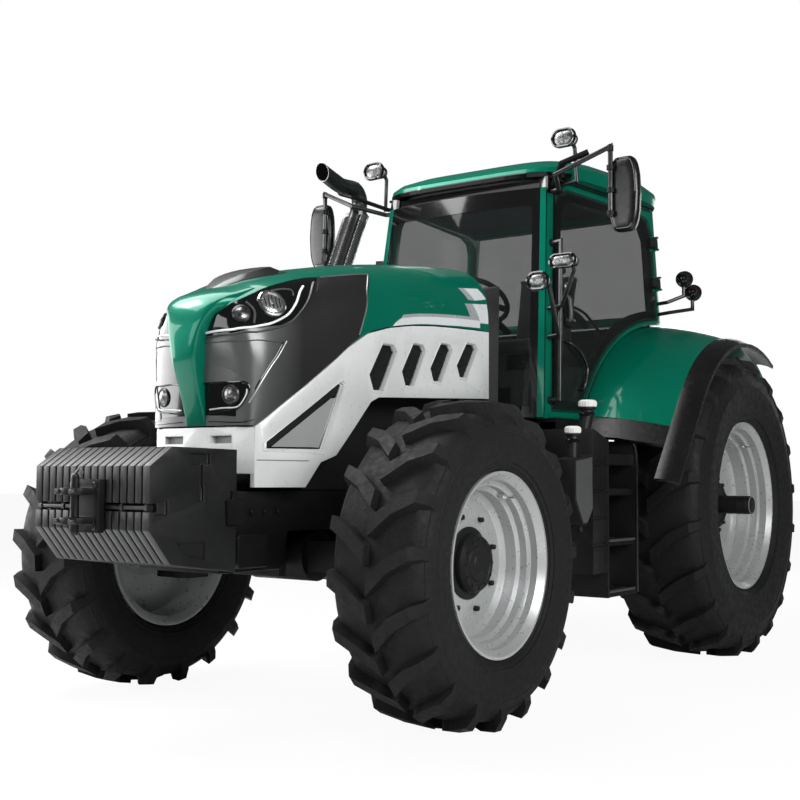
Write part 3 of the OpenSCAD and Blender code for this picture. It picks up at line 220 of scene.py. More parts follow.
def build(name, parts, material, body="chassis", slot=None, bevel=0.0, angle=38):
    """Makes one piece of the parts; the slot is not used."""
    mesh = bpy.data.meshes.new(name)
    verts, faces = [], []
    for part_verts, part_faces in parts:
        start = len(verts)
        verts += [Vector(v) * MM for v in part_verts]
        faces += [tuple(i + start for i in f) for f in part_faces]
    mesh.from_pydata(verts, [], faces)
    work = bmesh.new()
    work.from_mesh(mesh)
    bmesh.ops.recalc_face_normals(work, faces=work.faces)
    work.to_mesh(mesh)
    work.free()
    obj = bpy.data.objects.new(name, mesh)
    bpy.context.scene.collection.objects.link(obj)
    obj.data.materials.append(material)
    finish_edges(obj, bevel, angle)
    slot or SLOT_OF[material.name]
    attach(obj, body)
    return obj


def build_pair(name, parts, material, body="chassis", slot=None, bevel=0.0):
    """Builds a piece on the left and its mirror image on the right."""
    for side, sign in SIDES:
        build(f"{name}_{side}", on_side(parts, sign), material, body, slot, bevel)


def finish_edges(obj, bevel, angle):
    """Rounds the hard edges and shades the rest smooth."""
    for face in obj.data.polygons:
        face.use_smooth = True
    if bevel:
        round_off = obj.modifiers.new("rounded_edges", "BEVEL")
        round_off.width = bevel * MM
        round_off.segments = 2
        round_off.limit_method = "ANGLE"
        round_off.angle_limit = math.radians(angle)
        round_off.use_clamp_overlap = True
        round_off.harden_normals = True
    split = obj.modifiers.new("sharp_edges", "EDGE_SPLIT")
    split.split_angle = math.radians(angle)


# Materials: each one is made of nodes, with its own grain and variation; places in them are metres
def feed(tree, socket, value):
    """Gives an input another node's output, a colour or a number."""
    if isinstance(value, bpy.types.NodeSocket):
        tree.links.new(value, socket)
    elif socket.type == "RGBA":
        socket.default_value = (*value, 1)
    else:
        socket.default_value = value


def add_node(tree, kind, inputs, **settings):
    node = tree.nodes.new("ShaderNode" + kind)
    for key, value in settings.items():
        setattr(node, key, value)
    for socket, value in inputs.items():
        feed(tree, node.inputs[socket], value)
    return node


class Finish:
    """Node material, with short ways to add textures, ranges, mixes and bump."""

    def __init__(self, name):
        self.material = bpy.data.materials.new(name)
        self.material.use_nodes = True
        self.tree = self.material.node_tree
        self.shader = self.tree.nodes["Principled BSDF"]

    def node(self, kind, output, inputs, **settings):
        return add_node(self.tree, kind, inputs, **settings).outputs[output]

    def coords(self):
        return self.node("TexCoord", "Object", {})

    def place(self, axis):
        return self.node("SeparateXYZ", axis, {"Vector": self.coords()})

    def noise(self, scale, detail=4.0):
        return self.node("TexNoise", "Fac", {"Scale": scale, "Detail": detail, "Vector": self.coords()})

    def span(self, value, low, high, start=0.3, end=0.7):
        """Maps start to end onto low to high."""
        ends = {"From Min": start, "From Max": end, "To Min": low, "To Max": high}
        return self.node("MapRange", "Result", {"Value": value, **ends})

    def mix(self, factor, first, second):
        return self.node("Mix", "Result", {"Factor": factor, "A": first, "B": second}, data_type="RGBA")

    def calc(self, operation, *values):
        return self.node("Math", "Value", dict(enumerate(values)), operation=operation)

    def set(self, **sockets):
        """Feeds the shader's inputs; _ stands for a space in a name."""
        for socket, value in sockets.items():
            feed(self.tree, self.shader.inputs[socket.replace("_", " ")], value)

    def bump(self, height, strength, distance):
        sizes = {"Strength": strength, "Distance": distance * MM}
        self.set(Normal=self.node("Bump", "Normal", {"Height": height, **sizes}))


def surface(name, colour, rough, metal=0.0, vary=0.15, grain=5.0, bump=0.0, bump_scale=300.0, **sockets):
    """Painted, cast or moulded surface with soft mottling and an uneven gloss."""
    look = Finish(name)
    low = tuple(c * (1 - vary) for c in colour)
    high = tuple(min(1.0, c * (1 + vary)) for c in colour)
    mottle = look.span(look.noise(grain), 0.0, 1.0)
    wear = look.noise(grain * 7, 6.0)
    look.set(Base_Color=look.mix(mottle, low, high), Metallic=metal,
             Roughness=look.span(wear, rough * 0.85, rough * 1.2), **sockets)
    if bump:
        look.bump(look.noise(bump_scale, 2.0), bump, 1.0)
    return look.material


def rubber():
    """Tyre rubber: stippled, with a dusty bloom."""
    look = Finish("rubber_stippled")
    stipple = look.node("TexVoronoi", "Distance", {"Scale": 120.0, "Vector": look.coords()})
    grain = look.span(stipple, 0.0, 0.6, 0.1, 0.7)
    bloom = look.span(look.noise(3.0), 0.0, 0.4, 0.2, 0.8)
    dust = look.calc("ADD", grain, bloom)
    look.set(Base_Color=look.mix(dust, (0.0035, 0.0035, 0.0035), (0.011, 0.011, 0.0115)),
             Specular_IOR_Level=0.18, Roughness=look.span(look.noise(30.0), 0.5, 0.75))
    look.bump(stipple, 0.5, 2.0)
    return look.material


def fabric():
    """Woven seat cloth: crossing threads and a soft sheen."""
    look = Finish("seat_cloth")
    thread = {"Scale": 130.0, "Distortion": 0.6, "Vector": look.coords()}
    threads = [look.node("TexWave", "Fac", thread, bands_direction=axis) for axis in ("Y", "Z")]
    weave = look.calc("MULTIPLY", *threads)
    look.set(Base_Color=look.mix(weave, (0.02, 0.021, 0.023), (0.06, 0.062, 0.066)),
             Roughness=0.9, Sheen_Weight=0.4)
    look.bump(weave, 0.5, 1.5)
    return look.material


def metal_flake(name, band=None):
    """Green metallic paint; band = (x, low z, high z) is dark ahead of x between the heights."""
    look = Finish(name)
    cloud = look.noise(2.0)
    flake = look.span(look.noise(900.0, 1.0), 0.0, 0.5)
    shade = look.calc("ADD", flake, look.span(cloud, 0.0, 0.5, 0.0, 1.0))
    paint = look.mix(shade, (0.0, 0.115, 0.069), (0.0, 0.185, 0.115))
    if band:
        soft = 1
        marks = [look.span(look.place(axis), start, end, (edge - soft) * MM, (edge + soft) * MM)
                 for axis, edge, start, end in zip("XZZ", band, (0, 0, 1), (1, 1, 0))]
        mask = look.calc("MULTIPLY", look.calc("MULTIPLY", marks[0], marks[1]), marks[2])
        paint = look.mix(mask, paint, (0.004, 0.004, 0.004))
    look.set(Base_Color=paint, Roughness=look.span(cloud, 0.26, 0.34, 0.0, 1.0), Metallic=0.3,
             Specular_IOR_Level=0.05, Coat_Weight=0.5, Coat_Roughness=0.05)
    return look.material


def cheek_gloss_and_painted_reflection():
    """Dark hood cheek: glossy at the nose, where its base colour is also paler as a painted reflection, matte
    further back, dotted at the rear top corner.
    """
    look = Finish("cheek_panel")
    x, z = look.place("X"), look.place("Z")
    # ahead rises from 0 at x = 1.70 m to 1 at the nose: the paler base colour it gives there is a painted
    # reflection, while the gloss, specular and coat it raises are the cheek's own
    ahead = look.span(x, 0.0, 1.0, 1.70, 1.95)
    paint = look.mix(ahead, (0.016, 0.016, 0.0165), (0.070, 0.072, 0.073))
    flat = look.node("CombineXYZ", "Vector", {"X": x, "Y": z})
    dots = look.node("TexVoronoi", "Distance", {"Scale": 62.0, "Randomness": 0.0, "Vector": flat})
    hole = look.span(dots, 1.0, 0.0, 0.26, 0.36)
    corner = look.span(look.calc("MULTIPLY_ADD", z, -0.35, x), 1.0, 0.0, 0.46, 0.62)
    paint = look.mix(look.calc("MULTIPLY", hole, corner), paint, (0.002, 0.002, 0.002))
    look.set(Base_Color=paint, Roughness=look.span(ahead, 0.45, 0.28, 0.0, 1.0),
             Specular_IOR_Level=look.span(ahead, 0.2, 0.7, 0.0, 1.0),
             Coat_Weight=look.span(ahead, 0.0, 0.4, 0.0, 1.0), Coat_Roughness=0.2)
    look.bump(look.noise(700.0, 1.0), 0.05, 1.0)
    return look.material


GREEN = metal_flake("green_metallic")
ROOF = metal_flake("green_roof", (screen_x - 330, floor_z + 1300, floor_z + 1434))
SILVER = surface("silver_paint", (0.62, 0.63, 0.63), 0.3, vary=0.04, Coat_Weight=0.4)
RIM = surface("rim_silver", (0.41, 0.42, 0.42), 0.3, metal=0.4, vary=0.02)
CASTING = surface("black_casting", (0.007, 0.007, 0.0075), 0.45, vary=0.3, bump=0.15, bump_scale=160.0,
                  Specular_IOR_Level=0.18)
BALLAST = surface("ballast_paint", (0.013, 0.0133, 0.0135), 0.34, vary=0.2, bump=0.05, bump_scale=120.0,
                  Specular_IOR_Level=0.35)
PLASTIC = surface("black_plastic", (0.007, 0.007, 0.0073), 0.45, vary=0.2, bump=0.12, bump_scale=900.0,
                  Specular_IOR_Level=0.25)
SATIN = surface("satin_black", (0.006, 0.006, 0.0063), 0.24, vary=0.2, Specular_IOR_Level=0.45)
# Near-black without gloss: soot, and painted shade for the deep bore of the exhaust
SOOT_AND_SHADE = surface("soot_and_painted_shade", (0.002, 0.002, 0.002), 0.9, vary=0.3, Specular_IOR_Level=0.0)
GLOSS = surface("gloss_black", (0.004, 0.004, 0.0043), 0.08, vary=0.2, Coat_Weight=0.4)
GREY = surface("grey_plastic", (0.06, 0.061, 0.062), 0.4, vary=0.1, bump=0.1, bump_scale=700.0)
LIGHT_GREY = surface("light_grey_panel", (0.27, 0.28, 0.275), 0.4, vary=0.05)
STRIPE = surface("stripe_light", (0.62, 0.64, 0.65), 0.3, vary=0.04)
STRIPE_DARK = surface("stripe_grey", (0.30, 0.32, 0.33), 0.3, vary=0.05)
STEEL = surface("steel", (0.34, 0.34, 0.35), 0.32, metal=0.9, vary=0.12, grain=20.0)
DARK_STEEL = surface("dark_steel", (0.06, 0.06, 0.062), 0.3, metal=0.8, vary=0.2, grain=20.0)
MESH_STEEL = surface("shield_steel", (0.20, 0.20, 0.205), 0.35, metal=0.7, vary=0.1, grain=20.0)
CHROME = surface("chrome", (0.80, 0.81, 0.82), 0.12, metal=1.0, vary=0.03)
MIRROR = surface("mirror_glass", (0.80, 0.82, 0.83), 0.03, metal=1.0, vary=0.02)
RUBBER = rubber()
CLOTH = fabric()
CHEEK = cheek_gloss_and_painted_reflection()
GLASS = surface("tinted_glass", (0.014, 0.016, 0.016), 0.03, vary=0.1, Alpha=0.4)
REFLECTOR = surface("reflector", (0.60, 0.60, 0.60), 0.22, metal=0.9, vary=0.4, grain=60.0, bump=0.5,
                    bump_scale=120.0)
BOWL = surface("lamp_bowl", (0.17, 0.17, 0.17), 0.25, metal=0.9, vary=0.7, grain=70.0, bump=0.8,
               bump_scale=90.0)
LED = surface("light_guide", (0.85, 0.86, 0.88), 0.2, vary=0.05, Emission_Color=(0.9, 0.93, 1),
              Emission_Strength=0.06)
AMBER = surface("amber_lens", (0.80, 0.22, 0.03), 0.15, vary=0.1)
RED = surface("red_lens", (0.45, 0.01, 0.01), 0.15, vary=0.1)
WHITE = surface("white_cap", (0.72, 0.72, 0.70), 0.4, vary=0.06)
INTERIOR = surface("cab_lining", (0.032, 0.032, 0.033), 0.65, vary=0.15, bump=0.2, bump_scale=500.0,
                   Specular_IOR_Level=0.2)

# Record slot that each material belongs to
SLOTS = {
    "green_paint": [GREEN],
    "silver_paint": [SILVER, LIGHT_GREY, STRIPE, STRIPE_DARK, WHITE],
    "black_casting": [CASTING, BALLAST],
    "black_plastic": [PLASTIC, SATIN, GLOSS, GREY, INTERIOR],
    "steel": [STEEL, DARK_STEEL, CHROME, SOOT_AND_SHADE],
    "lamp_glass": [MIRROR, REFLECTOR, BOWL, LED, AMBER, RED],
    "dark_panel": [CHEEK],
    "tyre_rubber": [RUBBER],
    "seat_fabric": [CLOTH],
}
SLOT_OF = {material.name: slot for slot, materials in SLOTS.items() for material in materials}

# Material of every carried-over node, and the edge radius of those with hard edges
WHEELS = ["front_left", "front_right", "rear_left", "rear_right"]
FINISHES = {
    GREEN: ["hood_top", "fenders"],
    ROOF: ["cab_frame", "cab_roof"],
    SILVER: ["side_panels", "front_bumper"],
    CASTING: ["engine_block", "front_frame", "transmission", "rear_axle_housing", "front_axle_beam",
              "tow_jaw", "knuckle_left", "knuckle_right", "rear_hitch", "lower_links", "lift_arms"],
    BALLAST: ["front_weights"],
    PLASTIC: ["side_grilles", "fuel_tank", "access_steps", "right_box", "work_lamps", "door_frame"],
    SATIN: ["fender_flares", "mirror_heads"],
    INTERIOR: ["cab_floor", "steering_column"],
    CHEEK: ["hood_cheeks"],
    GLOSS: ["headlamps"],
    RUBBER: [f"tyre_{wheel}" for wheel in WHEELS],
    RIM: [f"rim_{wheel}" for wheel in WHEELS],
    DARK_STEEL: ["exhaust_stack", "grab_rails", "mirror_arms", "lamp_stalks"],
    MESH_STEEL: ["exhaust_shield"],
    STEEL: ["lift_rods"],
    GLASS: ["cab_glass", "door_glass"],
    CLOTH: ["seat"],
}
ROUNDED = {"front_weights": 7, "front_frame": 8, "fuel_tank": 12, "access_steps": 3, "right_box": 12,
           "tow_jaw": 5, "cab_frame": 10, "front_axle_beam": 8, "transmission": 12, "engine_block": 12,
           "side_panels": 3, "front_bumper": 5, "rear_hitch": 4, "lower_links": 4, "lift_arms": 4,
           "cab_floor": 5}


def finish_nodes():
    """Gives every carried-over node its material, joined vertices and rounded or smooth edges."""
    for material, names in FINISHES.items():
        for name in names:
            obj = frame["nodes"][name]
            obj.data.materials.clear()
            obj.data.materials.append(material)
            weld = obj.modifiers.new("joined", "WELD")
            weld.merge_threshold = 0.02 * MM
            if name in ROUNDED:
                flat = obj.modifiers.new("flat_faces", "DECIMATE")
                flat.decimate_type = "DISSOLVE"
                flat.angle_limit = math.radians(0.6)
            finish_edges(obj, ROUNDED.get(name, 0), 34)


def wheel_details():
    for end, wheel, rim_r, rim_w, tyre_r, tyre_w, disc, hub_r, hub_out in (
            ("front", front_wheel, 411, 424, 733, 490, 34, 128, 87),
            ("rear", rear_wheel, 524, 514, 951, 610, 36, 150, 78)):
        for side, sign in SIDES:
            at = Vector((wheel.x, wheel.y * sign, wheel.z))
            out = Vector((0, sign, 0))
            body = f"wheel_{end}_{side}"
            cover = [(hub_r + 4, disc + 2), (hub_r + 4, hub_out - 14), (hub_r - 8, hub_out + 4),
                     (hub_r - 30, hub_out + 6), (hub_r - 34, hub_out + 2), (hub_r - 46, hub_out + 2),
                     (hub_r - 50, hub_out + 7), (46, hub_out + 7), (40, hub_out + 12), (0, hub_out + 12)]
            flange = moved([(34, -6), (34, 6), (24, 12), (0, 14)], hub_r, disc)
            hub = [turned(at, out, cover, 48), turned(at, out, flange, 48)]
            hub += bolts(at + out * (hub_out + 3), out, hub_r - 20, 12, 7, 7)
            build(f"{end}_hub_{side}", hub, CASTING, body, angle=30)
            circle, count, foot = (215, 8, disc - 16) if end == "front" else (hub_r + 19, 12, disc + 5)
            studs = bolts(at + out * foot, out, circle, count, 13, 34, start=0.3)
            build(f"{end}_wheel_bolts_{side}", studs, CASTING, body)
            mid, half, wall = (rim_r + tyre_r) / 2, rim_w / 2, tyre_w / 2
            valve = at + Vector((-rim_r * 0.42, out.y * (half - 96), rim_r * 0.72))
            stem = [pipe([valve, valve + out * 28, valve + out * 60], 9, 8),
                    block(valve - Vector((24, 12, 14)), valve + Vector((24, 12, 14)))]
            build(f"{end}_valve_{side}", stem, CHROME, body, bevel=2)
            rings = []
            bead = [(-6, -6), (-4, 2), (0, 4), (4, 2), (6, -6)]
            for r, y in ((rim_r + 24, half + 4), (rim_r + 44, wall - 17), (mid + 14, wall - 3),
                         (tyre_r - 104, wall - 18)):
                rings += [hoop(at, out * face, moved(bead, r, y)) for face in (1, -1)]
            build(f"{end}_tyre_rings_{side}", rings, RUBBER, body)
            if end == "rear":
                bar = [turned(at, out, [(56, hub_out), (56, 292), (50, 300)], 32)]
                bar += [turned(at, out, [(57.5, y), (57.5, y + 6)], 32) for y in (110, 160, 210, 260)]
                low, high = sorted((sign * 90, sign * 290))
                bar.append(block(at + Vector((-9, low, 52)), at + Vector((9, high, 58))))
                build(f"rear_bar_sleeve_{side}", bar, CASTING, body, bevel=1)
                cap = [turned(at, out, [(47, 296), (47, 302), (30, 304), (0, 304)], 32)]
                build(f"rear_bar_end_{side}", cap, PLASTIC, body, "black_casting")


# Hood surface, with the same lines as the solid: crown, lower edge and a rounded section
hood_len = front_x - hood_rear_x
hood_rear_z, hood_side_z, nose_foot_z = 2325, 1936, 1342
nose_front = front_x + 688
CROWN = [(hood_rear_x, hood_rear_z), (front_x - hood_len * 0.69, hood_rear_z - 35),
         (front_x - hood_len * 0.345, hood_rear_z - 90), (front_x - 20, hood_rear_z - 160),
         (nose_front - 388, hood_rear_z - 238), (nose_front - 145, hood_rear_z - 325),
         (nose_front, hood_rear_z - 452), (nose_front - 12, (nose_foot_z + hood_rear_z - 452) / 2),
         (nose_front - 34, nose_foot_z)]
EDGE = [(hood_rear_x, hood_side_z), (front_x - hood_len * 0.69, hood_side_z - 14),
        (front_x - hood_len * 0.36, hood_side_z - 44), (front_x - 70, hood_side_z - 118),
        (front_x + 170, hood_side_z - 280), (front_x + 330, hood_side_z - 398),
        (front_x + 445, hood_side_z - 480), (front_x + 535, nose_foot_z + 46), (front_x + 600, nose_foot_z)]


def line_at(points, t):
    """Point of a smooth line at t, which counts its points."""
    n = len(points) - 1
    i = min(int(t), n - 1)
    near = [Vector(points[min(max(k, 0), n)]) for k in (i - 1, i, i + 1, i + 2)]
    return curve_point(*near, t - i)


def side_y(x):
    return 450 - 138 * (max(0.0, x - front_x + 400) / 1000) ** 2


def signed_power(v, e):
    return math.copysign(abs(v) ** e, v)


def hood_point(u, a):
    """Point of the hood: u counts the points of its lines from the rear, a is the angle from the crown."""
    crown, edge = line_at(CROWN, u), line_at(EDGE, u)
    k = signed_power(math.cos(math.radians(a)), 0.68)
    y = side_y(edge.x) * signed_power(math.sin(math.radians(a)), 0.68)
    return Vector((edge.x + (crown.x - edge.x) * k, y, edge.y + (crown.y - edge.y) * k))


def hood_normal(u, a):
    along = hood_point(min(u + 0.04, 8), a) - hood_point(max(u - 0.04, 0), a)
    across = hood_point(u, a + 2) - hood_point(u, a - 2)
    return along.cross(across).normalized()


def on_hood(u, a, lift):
    return hood_point(u, a) + hood_normal(u, a) * lift


def path_point(points, t):
    """Point at share t along a list of points."""
    n = len(points) - 1
    i = min(int(t * n), n - 1)
    f = t * n - i
    return Vector(points[i]) * (1 - f) + Vector(points[i + 1]) * f


def hood_patch(first, second, lift=0.6, thick=1.2, rows=6, cols=10):
    """Thin sheet on the hood between two edges, each a list of (u, angle) points."""
    spots = []
    for i in range(rows + 1):
        ends = [(path_point(first, j / cols), path_point(second, j / cols)) for j in range(cols + 1)]
        spots.append([a + (b - a) * (i / rows) for a, b in ends])
    grid = [[on_hood(*spot, lift) for spot in row] for row in spots]
    return sheet(grid, lambda i, j: hood_normal(*spots[i][j]), thick)


def hood_line(points, lift, steps=8):
    """Smooth line on the hood through (u, angle) points."""
    path = smooth_path([(u, a, 0) for u, a in points], steps)
    return [on_hood(p.x, p.y, lift) for p in path]


def hood_bead(name, points, lift, radius, material, slot, n=8, steps=8, flat=1.0):
    """Bead along (u, angle) points on both sides of the hood."""
    bead = pipe(hood_line(points, lift, steps), radius, n, flat=flat)
    build_pair(name, [bead], material, "hood", slot)


def nose_strip():
    """Green keel down the middle of the nose, which stands proud of the hood's skin."""
    stations = [(4.9, 27, 0), (5.3, 26, 9), (5.6, 23.5, 21), (5.9, 19, 32), (6.12, 14.2, 42),
                (6.35, 10.2, 58), (6.6, 7.6, 70), (6.85, 6.3, 74), (7.15, 5.6, 58), (7.4, 5.1, 38),
                (7.65, 5, 20), (7.97, 5, 3)]
    half = [(0, 1), (0.3, 1), (0.6, 0.985), (0.8, 0.955), (0.9, 0.89), (0.955, 0.76), (1, 0)]
    section = [(-q, p) for q, p in reversed(half[1:])] + half
    rings = []
    for u, angle, proud in smooth_path(stations, 4):
        out = hood_normal(u, 0)
        face = [hood_point(u, q * angle) + out * (proud * p - (4 if p == 0 else 0)) for q, p in section]
        back = [hood_point(u, q * angle) - out * 10 for q, p in reversed(section[1:-1])]
        rings.append(face + back)
    build("nose_strip", [loft(rings)], GREEN, "hood", angle=50)


def headlamp_details():
    slot = "lamp_glass"

    def inset(name, spot, profiles, material):
        """Turned pieces let into the hood's skin at a spot (u, angle)."""
        parts = [turned(on_hood(*spot, -6), hood_normal(*spot), profile, n) for profile, n in profiles]
        build_pair(name, parts, material, "hood", slot)

    main, second, low = (4.95, 46), (5.8, 37), (7.38, 33)
    inset("projector_ring", main, [([(70, -4), (70, 10), (64, 16), (56, 14), (54, 6)], 40)], CHROME)
    inset("projector_lens", main, [([(54, 2), (54, 9), (40, 14), (22, 17), (0, 18)], 24),
                                   ([(14, 17), (12, 21), (0, 22)], 12)], REFLECTOR)
    inset("second_lens_ring", second, [([(42, -2), (42, 8), (36, 12), (30, 8)], 32)], DARK_STEEL)
    inset("second_lens", second, [([(31, 0), (31, 8), (20, 14), (0, 17)], 28)], BOWL)
    inset("low_lens_ring", low, [([(46, -2), (46, 6), (40, 12), (34, 8)], 32)], DARK_STEEL)
    inset("low_lens", low, [([(34, 0), (34, 8), (22, 15), (0, 19)], 28)], BOWL)

    at, axis = on_hood(*main, -6), hood_normal(*main)
    x, y = axes(axis)[:2]
    bars = []
    for k in range(-2, 3):
        middle = at + x * (k * 18) + axis * (19 - abs(k) * 1.6)
        reach = math.sqrt(50 ** 2 - (k * 18) ** 2) * 0.7
        bars.append(pipe([middle - y * reach, middle + y * reach], 2.2, 6))
    build_pair("projector_bars", bars, GLOSS, "hood", slot)

    hood_bead("lamp_divider", [(5.45, 33.5), (5.5, 44), (5.75, 50)], 1, 6, GREY, slot, steps=6)
    guide = [(6.47, 5), (6.37, 22), (6.22, 36.5), (5.9, 50), (5.45, 57), (5.03, 59), (4.72, 58.5), (4.42, 54),
             (4.15, 46), (4.0, 42)]
    hood_bead("light_guide", guide, 1, 7, LED, slot, n=10, flat=0.8)
    hood_bead("lamp_brow", [(5.05, 35.5), (4.6, 36.5), (4.3, 41), (4.35, 47.5)], 0, 4, GREY, slot)
    rim = [(6.53, 8), (6.43, 24), (6.3, 37), (5.95, 53), (5.55, 60), (4.95, 64), (4.53, 62), (4.12, 55),
           (3.73, 41)]
    hood_bead("lamp_rim", rim, 1, 8, GREY, slot, n=10, flat=0.5)
    strip = [(7.15, 56.5), (7.28, 56), (7.48, 49), (7.58, 40), (7.62, 22), (7.65, 9)]
    hood_bead("low_light_guide", strip, 0, 4, STRIPE, slot)
    low_rim = [(7.25, 4), (7.23, 16), (7.17, 36.5), (7.04, 53.5), (7.04, 59), (7.17, 60.5), (7.42, 54),
               (7.6, 43.5), (7.68, 22), (7.71, 7)]
    hood_bead("low_lamp_rim", low_rim, 1, 6, GLOSS, slot, steps=6, flat=0.6)

    cover = hood_patch([(6.98, 4), (6.98, 16), (6.98, 36.5), (6.98, 54)],
                       [(7.25, 4), (7.23, 16), (7.17, 36.5), (7.05, 54)], 0.4, 3, rows=4, cols=18)
    build_pair("low_lamp_brow", [cover], CHEEK, "hood")
    corner = hood_patch([(7.07, 52), (7.07, 59.5)], [(7.56, 44), (7.3, 56.5)], 0.4, 1.5)
    build_pair("low_lamp_corner", [corner], GLOSS, "hood", slot)
    chin = hood_patch([(7.64, 42), (7.5, 50.5), (7.3, 58), (7.12, 62)],
                      [(7.8, 42), (7.8, 50), (7.8, 57), (7.8, 63)], 0.6, 1.5, rows=4, cols=12)
    build_pair("low_lamp_chin", [chin], CHEEK, "hood")


def hood_trim():
    upper = hood_patch([(0.24, 60.5), (0.62, 62)], [(0.04, 71), (0.44, 73.5)])
    build_pair("stripe_upper", [upper], STRIPE, "hood")
    lead = hood_patch([(0.62, 62), (0.76, 62.2)], [(0.44, 73.5), (0.60, 73.5)])
    build_pair("stripe_upper_lead", [lead], STRIPE_DARK, "hood")
    lower = hood_patch([(0.06, 75.5), (0.52, 76.5)], [(0.04, 88), (0.34, 88)])
    foot = hood_patch([(0.34, 87), (1.2, 87.2), (2.25, 87.8)], [(0.34, 89.7), (1.2, 89.9), (2.45, 90)],
                      rows=3, cols=24)
    build_pair("stripe_lower", [lower, foot], STRIPE, "hood")
    slant = hood_patch([(0.52, 76.5), (0.70, 77)], [(0.34, 87), (0.58, 87)])
    band = hood_patch([(0.56, 85.5), (1.2, 85.6), (2.2, 86.2)], [(0.56, 87), (1.2, 87.2), (2.25, 87.8)],
                      rows=3, cols=24)
    build_pair("stripe_lower_lead", [slant, band], STRIPE_DARK, "hood")
    edge = hood_line([(3.5, 37), (3.2, 40), (2.9, 42), (2.59, 44)], 1, 6)
    edge += hood_line([(2.59, 44), (2.83, 62), (2.97, 78), (3.12, 86.5), (3.22, 89.6)], 1)[1:]
    build_pair("cheek_outline", [pipe(edge, 4, 8)], STEEL, "hood")
    for name, radius, lift, material, slot, points in (
            ("nose_joint", 3, 0.4, GREY, "dark_panel",
             [(6.6, 8), (6.55, 23), (6.28, 49), (5.68, 66), (5.14, 72.2)]),
            ("cheek_groove", 4, 0.4, STEEL, "steel",
             [(5.14, 72.2), (5.65, 76), (6.33, 76), (7.03, 70), (7.38, 63)]),
            ("cheek_groove_shade", 4, 0, GLOSS, "dark_panel",
             [(5.26, 71.5), (5.72, 75), (6.33, 74.6), (6.98, 68.6)]),
            ("nose_foot_joint", 2.5, 0.4, GLOSS, "dark_panel",
             [(7.88, 8), (7.9, 40), (7.86, 62), (7.7, 80)])):
        hood_bead(name, points, lift, radius, material, slot)


# Cab geometry, with the same planes as the solid: s runs forward, h up, y outward from the left side
side_turn = math.atan2(cab_front_half_w - cab_rear_half_w, cab_front - cab_rear)
side_len = math.hypot(cab_front - cab_rear, cab_rear_half_w - cab_front_half_w)
cab_lean = math.radians(4)
roof_z = floor_z + cab_h * math.cos(cab_lean)
pillar_lean = 0.125
glass_out = 9


def side_at(s, y, h):
    out = y * math.cos(cab_lean) - h * math.sin(cab_lean)
    return Vector((corner_x + s * math.cos(side_turn) - out * math.sin(side_turn),
                   cab_rear_half_w + s * math.sin(side_turn) + out * math.cos(side_turn),
                   floor_z + y * math.sin(cab_lean) + h * math.cos(cab_lean)))


side_out = side_at(0, 1, 0) - side_at(0, 0, 0)


def pillar_s(h):
    return side_len - pillar_lean * h - 38


def screen_at(v, h, lift):
    """Point of the windscreen: v runs from -1 on the right to 1 on the left."""
    p = side_at(side_len - pillar_lean * h, -6, h)
    return Vector((p.x + 8 + 60 * (1 - v * v) + lift, (p.y - 6) * v, p.z))


def screen_patch(v0, v1, h0, h1, rows, cols):
    grid = [[screen_at(v0 + (v1 - v0) * j / cols, h0 + (h1 - h0) * i / rows, 0.6) for j in range(cols + 1)]
            for i in range(rows + 1)]
    return sheet(grid, lambda i, j: AHEAD, 1.5)


def side_panel_details():
    strip_z = frame_top + 16
    panel_rear_z = 1556
    vent_first, vent_pitch, vent_rise = 185, 255, 32

    def place(x, z, depth):
        return Vector((x, side_y(x) + depth, z))

    frames, slats = [], []
    for i in range(4):
        x, z = front_x - vent_first - i * vent_pitch, panel_rear_z + 99 + vent_rise * i
        h, w = 117 - 7 * i, 105
        vent = [(w, -h * 0.35), (w - 30, -h), (5, -h), (-w, h * 0.72), (25 - w, h), (5, h)]
        lip = [(15, -1), (12, 3.5), (4, 4), (-2, -12), (-4, -14), (6, -6)]
        frames.append(ring_of(moved(vent, x, z), place, lip))
        slats += [pipe([place(x - 80, z + k * 30 + 24, -25), place(x + 80, z + k * 30 - 24, -25)], 3, 6)
                  for k in range(-3, 4)]
    build_pair("vent_frames", frames, SILVER)
    build_pair("vent_slats", slats, PLASTIC)
    window = moved([(540, 172), (540, 205), (115, 500), (95, 485), (225, 172)], front_x, strip_z)
    lip = [(26, -1), (22, 5), (8, 6), (-3, -14), (-6, -16), (6, -6)]
    build_pair("window_frame", [ring_of(window, place, lip)], SILVER)
    pane = moved([(505, 180), (150, 425), (128, 425), (228, 180)], front_x, strip_z)
    build_pair("window_pane", [prism(pane, place, -25, -20)], LIGHT_GREY, bevel=2)
    build_pair("window_seal", [ring_of(pane, place, [(6, -24), (6, -18), (0, -17), (-6, -19)])], GLOSS)
    seam = [place(front_x + 590 - 40 * k, strip_z + 122, 0.5) for k in range(8)]
    build_pair("lower_seam", [pipe(seam, 3, 6)], LIGHT_GREY)


